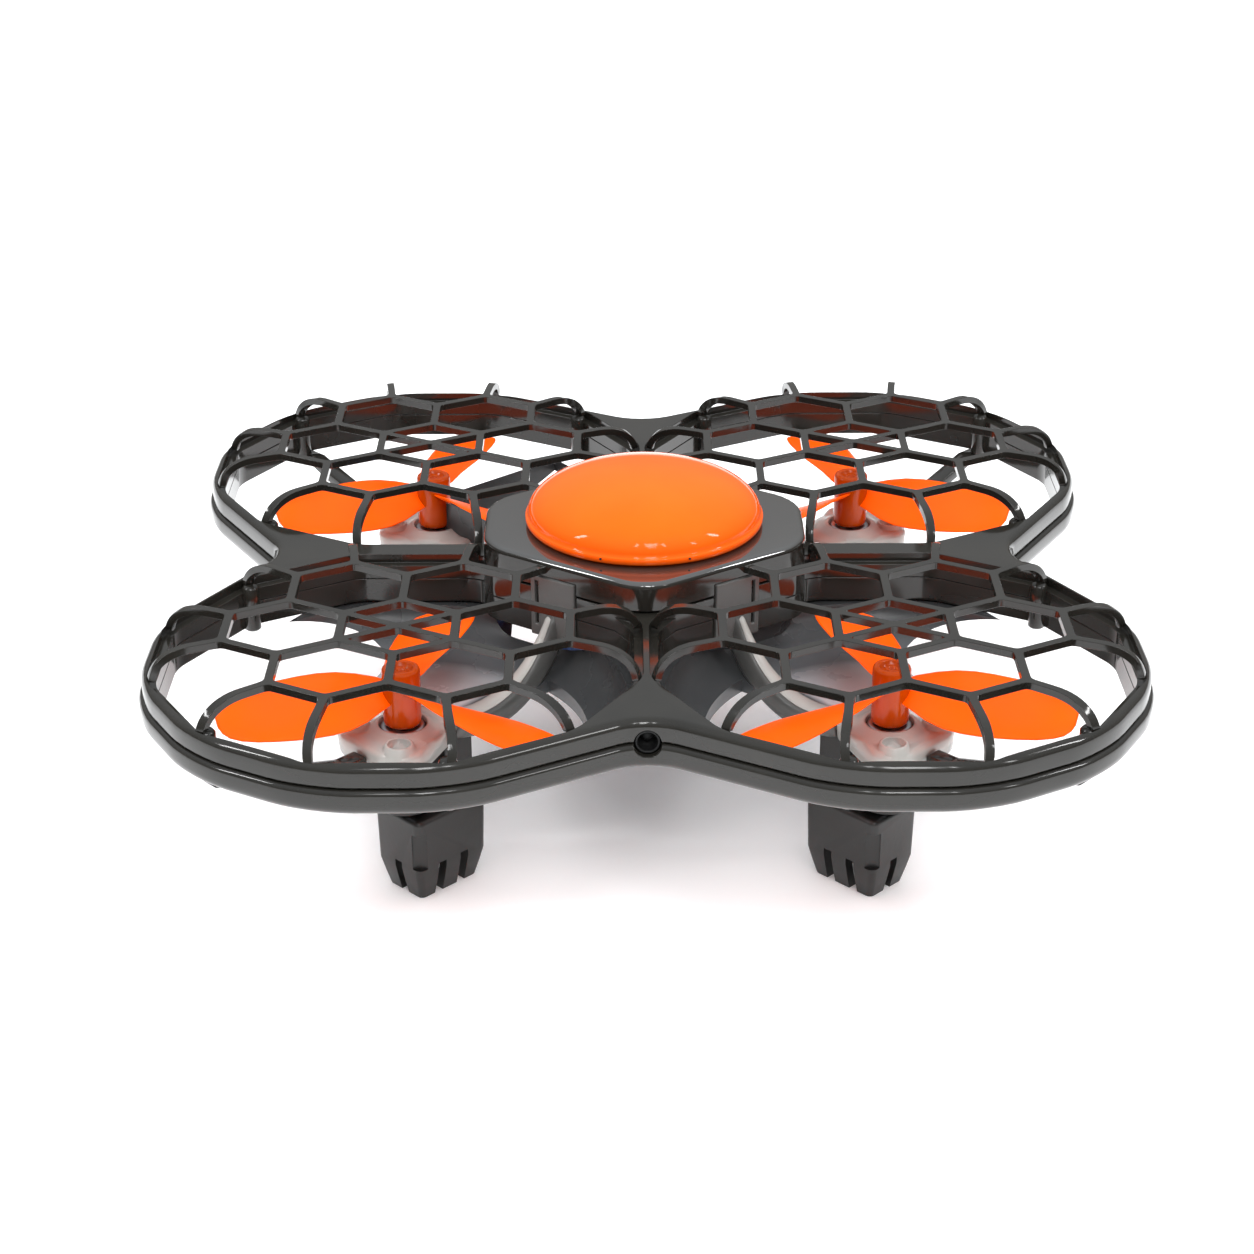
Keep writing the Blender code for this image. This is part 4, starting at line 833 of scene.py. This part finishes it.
def swept_rib(side_x, side_y, halves, depths, offsets):
    """Rounded bar along the rib's path; width, depth and offset each run from the pod to the tip."""
    shape = bmesh.new()
    loops = []
    for step in range(17):
        share = step / 16
        crest = rib_path(share)
        ahead = (rib_path(min(1.0, share + 0.03)) - rib_path(max(0.0, share - 0.03))).normalized()
        inward = Vector((ahead.y, -ahead.x))
        half, deep, sideways = (start + (end - start) * share for start, end in (halves, depths, offsets))
        ring = bmesh.ops.create_circle(shape, segments=16, radius=1.0)["verts"]
        for point in ring:
            across = point.co.x
            down = 1 - point.co.y
            spot = crest + inward * (deep / 2 * down) * MM
            flat = along_arm(side_x, side_y, spot.x, sideways * MM + across * half * MM)
            point.co = (flat.x, flat.y, spot.y)
        loops.append([edge for edge in shape.edges if all(point in ring for point in edge.verts)])
    for near, far in zip(loops, loops[1:]):
        bmesh.ops.bridge_loops(shape, edges=near + far)
    bmesh.ops.holes_fill(shape, edges=loops[0] + loops[-1], sides=0)
    bmesh.ops.recalc_face_normals(shape, faces=shape.faces)
    return shape


for side, side_x, side_y in SIDES:
    rib = swept_rib(side_x, side_y, (3.1, 0.7), (3.0, 1.6), (0.0, 0.0))
    settle(f"arm_rib_{side}", rib, "airframe", PALE, [f"arm_{side}"], edge=0)
    # Beside the rib hangs a thin dark grey strip: painted shade on the arm's side face.
    painted_shade_side = swept_rib(side_x, side_y, (0.9, 0.7), (3.4, 4.4), (2.7, 0.9))
    settle(f"arm_painted_shade_side_{side}", painted_shade_side, "airframe", ARM_GREY_AND_SHADE, [f"arm_{side}"], edge=0)
    panel = bmesh.new()
    bmesh.ops.create_cube(panel, size=1.0)
    bmesh.ops.scale(panel, verts=panel.verts, vec=(8.6 * MM, 1.6 * MM, 10.6 * MM))
    slit = bmesh.new()
    bmesh.ops.create_cube(slit, size=1.0)
    bmesh.ops.scale(slit, verts=slit.verts, vec=(0.55 * MM, 1.2 * MM, 7.6 * MM))
    panel = combined(panel, [moved(slit, (side_x * 3.1 * MM, side_y * 0.6 * MM, 0.6 * MM))], "DIFFERENCE")
    slant = atan2(DECK_NOSE - DECK_SHOULDER, DECK_SIDE)
    reach = 14.6 * MM
    wall_y = DECK_NOSE - 0.4 * MM - (DECK_NOSE - DECK_SHOULDER) * reach / DECK_SIDE
    panel = moved(panel, (side_x * reach, side_y * wall_y, 39.2 * MM),
                  Matrix.Rotation(-slant * side_x * side_y, 3, "Z"))
    settle(f"arm_panel_{side}", panel, "airframe", ARM_GREY_AND_SHADE, [f"arm_{side}"], 0.3 * MM, 3)

# ---- rotors ------------------------------------------------------------------------------------
# Three swept blades and a tall hub are one moulding in clear orange plastic, pressed on the motor's
# shaft.  Left and right rotors turn opposite ways, so their blades lean opposite ways.
BLADE_LEVEL, BLADE_CHORD, BLADE_REACH = 35.6 * MM, 12.6 * MM, 29.1 * MM
BLADE_STATIONS = ((0.03, 0.26, 0.00, 36), (0.12, 0.50, 0.00, 32), (0.22, 0.74, 0.02, 29),
                  (0.32, 0.92, 0.03, 26), (0.42, 1.02, 0.035, 23), (0.52, 1.06, 0.04, 20.5),
                  (0.62, 1.07, 0.045, 18), (0.72, 1.06, 0.045, 16), (0.82, 1.02, 0.045, 14),
                  (0.90, 0.94, 0.045, 12), (0.955, 0.81, 0.04, 11), (0.985, 0.63, 0.035, 10),
                  (1.00, 0.38, 0.03, 10))
ROTOR_GLOWING_ORANGE = moulded_plastic("rotor_orange_plastic_painted_glow", (1.0, 0.090, 0.0), (0.97, 0.080, 0.0), 0.36, 0.06,
                               350.0, 0.08, 1.22)
rotor_shader = ROTOR_GLOWING_ORANGE.node_tree.nodes["Principled BSDF"]
# Painted glow: a faint emission lights the blades, standing in for light passing through the thin orange
# plastic.
rotor_shader.inputs["Emission Color"].default_value = (1.0, 0.12, 0.0, 1.0)
rotor_shader.inputs["Emission Strength"].default_value = 0.16
# The hub is a darker copy of the blades' orange: painted shade on the thick hub, which is one moulding with
# them.
HUB_SHADED_ORANGE = moulded_plastic("hub_orange_plastic_painted_shade", (0.52, 0.058, 0.0), (0.44, 0.047, 0.0), 0.14, 0.04,
                             400.0, 0.1, 1.35)


def blade(hand, turn):
    """One blade from rounded sections that shrink, lead and untwist towards the tip."""
    shape = bmesh.new()
    loops = []
    for reach, chord, lead, pitch in BLADE_STATIONS:
        ring = bmesh.ops.create_circle(shape, segments=20, radius=1.0)["verts"]
        lean = radians(pitch)
        for point in ring:
            flat = point.co.x * chord * BLADE_CHORD / 2
            thick = point.co.y * 0.40 * MM * (0.5 + 0.5 * chord)
            across = flat * cos(lean) + thick * sin(lean) + lead * BLADE_REACH
            point.co = (reach * BLADE_REACH, hand * across, thick * cos(lean) - flat * sin(lean))
        loops.append([edge for edge in shape.edges if all(point in ring for point in edge.verts)])
    for near, far in zip(loops, loops[1:]):
        bmesh.ops.bridge_loops(shape, edges=near + far)
    bmesh.ops.holes_fill(shape, edges=loops[0] + loops[-1], sides=0)
    bmesh.ops.recalc_face_normals(shape, faces=shape.faces)
    bmesh.ops.rotate(shape, verts=shape.verts, matrix=Matrix.Rotation(turn, 3, "Z"))
    return shape


for side, side_x, side_y in SIDES:
    axis = Vector((side_x * ROTOR.x, side_y * ROTOR.y))
    first = radians(77) if side_x < 0 else radians(103)
    vanes = bmesh.new()
    for index in range(3):
        vane = blade(-side_x, first + index * 2 * pi / 3)
        mesh = bpy.data.meshes.new("vane")
        vane.to_mesh(mesh)
        vane.free()
        vanes.from_mesh(mesh)
        bpy.data.meshes.remove(mesh)
    settle(f"blades_{side}", moved(vanes, (*axis, BLADE_LEVEL)), f"rotor_{side}", ROTOR_GLOWING_ORANGE,
           [f"rotor_{side}"], edge=0)
    hub = lathe(in_mm((0, 37.9), (0.62, 37.9), (0.62, 39.2), (0.95, 39.25), (1.0, 38.7), (1.75, 38.7),
                      (1.85, 39.5), (2.1, 39.7), (2.55, 39.66), (2.85, 39.5), (3.0, 39.15), (3.0, 30.9),
                      (2.9, 30.35), (2.6, 30.05), (2.2, 30.0), (0.6, 30.0), (0.6, 37.3), (0, 37.3)), 56)
    settle(f"hub_{side}", moved(hub, (*axis, 0)), f"rotor_{side}", HUB_SHADED_ORANGE,
           [f"rotor_{side}"], edge=0)
    pin = lathe(in_mm((0, 28.9), (0.5, 28.9), (0.5, 37.1), (0.42, 37.25), (0, 37.28)), 24)
    settle(f"shaft_pin_{side}", moved(pin, (*axis, 0)), f"rotor_{side}", BRIGHT_STEEL,
           [f"shaft_{side}"], edge=0)

# ---- feet --------------------------------------------------------------------------------------
# Under each motor a hollow foot in dark grey plastic stands on the ground.  Slots from below let it
# spring, a neck joins it to its pod, and its front corner has a shallow square recess.
FOOT_LENGTH, FOOT_WIDTH, FOOT_TOP, FOOT_OUTSET = 14.6 * MM, 10.8 * MM, 14.6 * MM, 2.3 * MM
TAPER, TAPER_TOP = 1.4 * MM, 6.2 * MM


def foot_body(side_x, side_y, shrink, bottom, top):
    """The foot's box on its diagonal; it leans in on every side near the ground."""
    length, width = FOOT_LENGTH / 2 - shrink, FOOT_WIDTH / 2 - shrink
    shape = bmesh.new()
    outline_face(shape, [(length, -width), (length, width), (-length, width), (-length, -width)],
                 [1.2 * MM] * 4, 6)
    raise_prism(shape, bottom, top)
    for level in (0.4, 0.8):
        everything = shape.verts[:] + shape.edges[:] + shape.faces[:]
        bmesh.ops.bisect_plane(shape, geom=everything, plane_co=(0, 0, TAPER_TOP * level), plane_no=(0, 0, 1))
    for point in shape.verts:
        lean = TAPER * max(0.0, 1 - point.co.z / TAPER_TOP) ** 1.2
        point.co.x *= (length - lean) / length
        point.co.y *= (width - lean) / width
    middle = along_arm(side_x, side_y, FOOT_LENGTH / 2 - FOOT_OUTSET)
    turn = pi / 4 if side_x * side_y > 0 else -pi / 4
    return moved(shape, (*middle, 0), Matrix.Rotation(turn, 3, "Z"))


def foot_block(side_x, side_y, size, along, across, height):
    shape = bmesh.new()
    bmesh.ops.create_cube(shape, size=1.0)
    bmesh.ops.scale(shape, verts=shape.verts, vec=size)
    turn = pi / 4 if side_x * side_y > 0 else -pi / 4
    return moved(shape, (*along_arm(side_x, side_y, along, across), height), Matrix.Rotation(turn, 3, "Z"))


for side, side_x, side_y in SIDES:
    centre = FOOT_LENGTH / 2 - FOOT_OUTSET
    solid = foot_body(side_x, side_y, 0.0, 0.0, FOOT_TOP)
    lip = [edge for edge in solid.edges if all(point.co.z > FOOT_TOP - FIT for point in edge.verts)]
    bmesh.ops.bevel(solid, geom=lip, offset=0.8 * MM, segments=4, affect="EDGES", profile=0.5, material=-1)
    tools = [foot_body(side_x, side_y, 1.6 * MM, -2 * MM, FOOT_TOP - 1.5 * MM),
             foot_block(side_x, side_y, (5 * MM, 1.6 * MM, 12 * MM), -FOOT_OUTSET, 0.0, 0.0),
             foot_block(side_x, side_y, (1.6 * MM, 30 * MM, 12 * MM), centre - 2.3 * MM, 0.0, 0.0),
             foot_block(side_x, side_y, (1.6 * MM, 30 * MM, 12 * MM), centre + 2.3 * MM, 0.0, 0.0)]
    notch = bmesh.new()
    bmesh.ops.create_cube(notch, size=1.0)
    bmesh.ops.scale(notch, verts=notch.verts, vec=(2.4 * MM, 3.0 * MM, 6.4 * MM))
    notch_place = along_arm(side_x, side_y, -FOOT_OUTSET, FOOT_WIDTH / 2)
    tools.append(moved(notch, (notch_place.x, notch_place.y - side_y * 0.2 * MM, 9.0 * MM)))
    shape = combined(solid, tools)
    neck = foot_block(side_x, side_y, (6.2 * MM, 4.6 * MM, 12.2 * MM), 9.0 * MM, 0.0, 19.6 * MM)
    gusset = foot_block(side_x, side_y, (1.4 * MM, 1.2 * MM, 11 * MM), 5.5 * MM, 3.6 * MM, 19.4 * MM)
    shape = combined(shape, [neck, gusset], "UNION")
    settle(f"landing_foot_{side}", shape, "airframe", DARK_PLASTIC, [f"foot_{side}"],
           0.25 * MM, 3)

# ---- spokes ------------------------------------------------------------------------------------
# A bar under each rim corner ties the outer end of its pod to the guard; it widens where it meets the
# rim and is moulded in the same smoked plastic.
for side, side_x, side_y in SIDES:
    corner = CAGE + cage_corner(1)
    reach = corner.length - ROTOR.length
    far = reach / MM
    edge_line = [(8.6, 25.6), (13.0, 25.6), (far - 7, 30.6), (far - 2, 32.6), (far + 0.6, 33.3),
                 (far + 0.6, 33.9), (far - 3, 33.9), (far - 8, 32.4), (12.5, 27.8), (8.6, 27.8)]
    shape = bmesh.new()
    shape.faces.new([shape.verts.new((along * MM, height * MM, 0.0)) for along, height in edge_line])
    raise_prism(shape, -1.6 * MM, 1.6 * MM)
    bmesh.ops.bevel(shape, geom=shape.edges[:], offset=0.4 * MM, segments=3, affect="EDGES", profile=0.5,
                    material=-1)
    for point in shape.verts:
        along, height, across = point.co
        flat = along_arm(side_x, side_y, -along, across)
        point.co = (flat.x, flat.y, height)
    bmesh.ops.recalc_face_normals(shape, faces=shape.faces)
    settle(f"pod_spoke_{side}", shape, "airframe", SMOKED, [f"spoke_{side}"], edge=0)
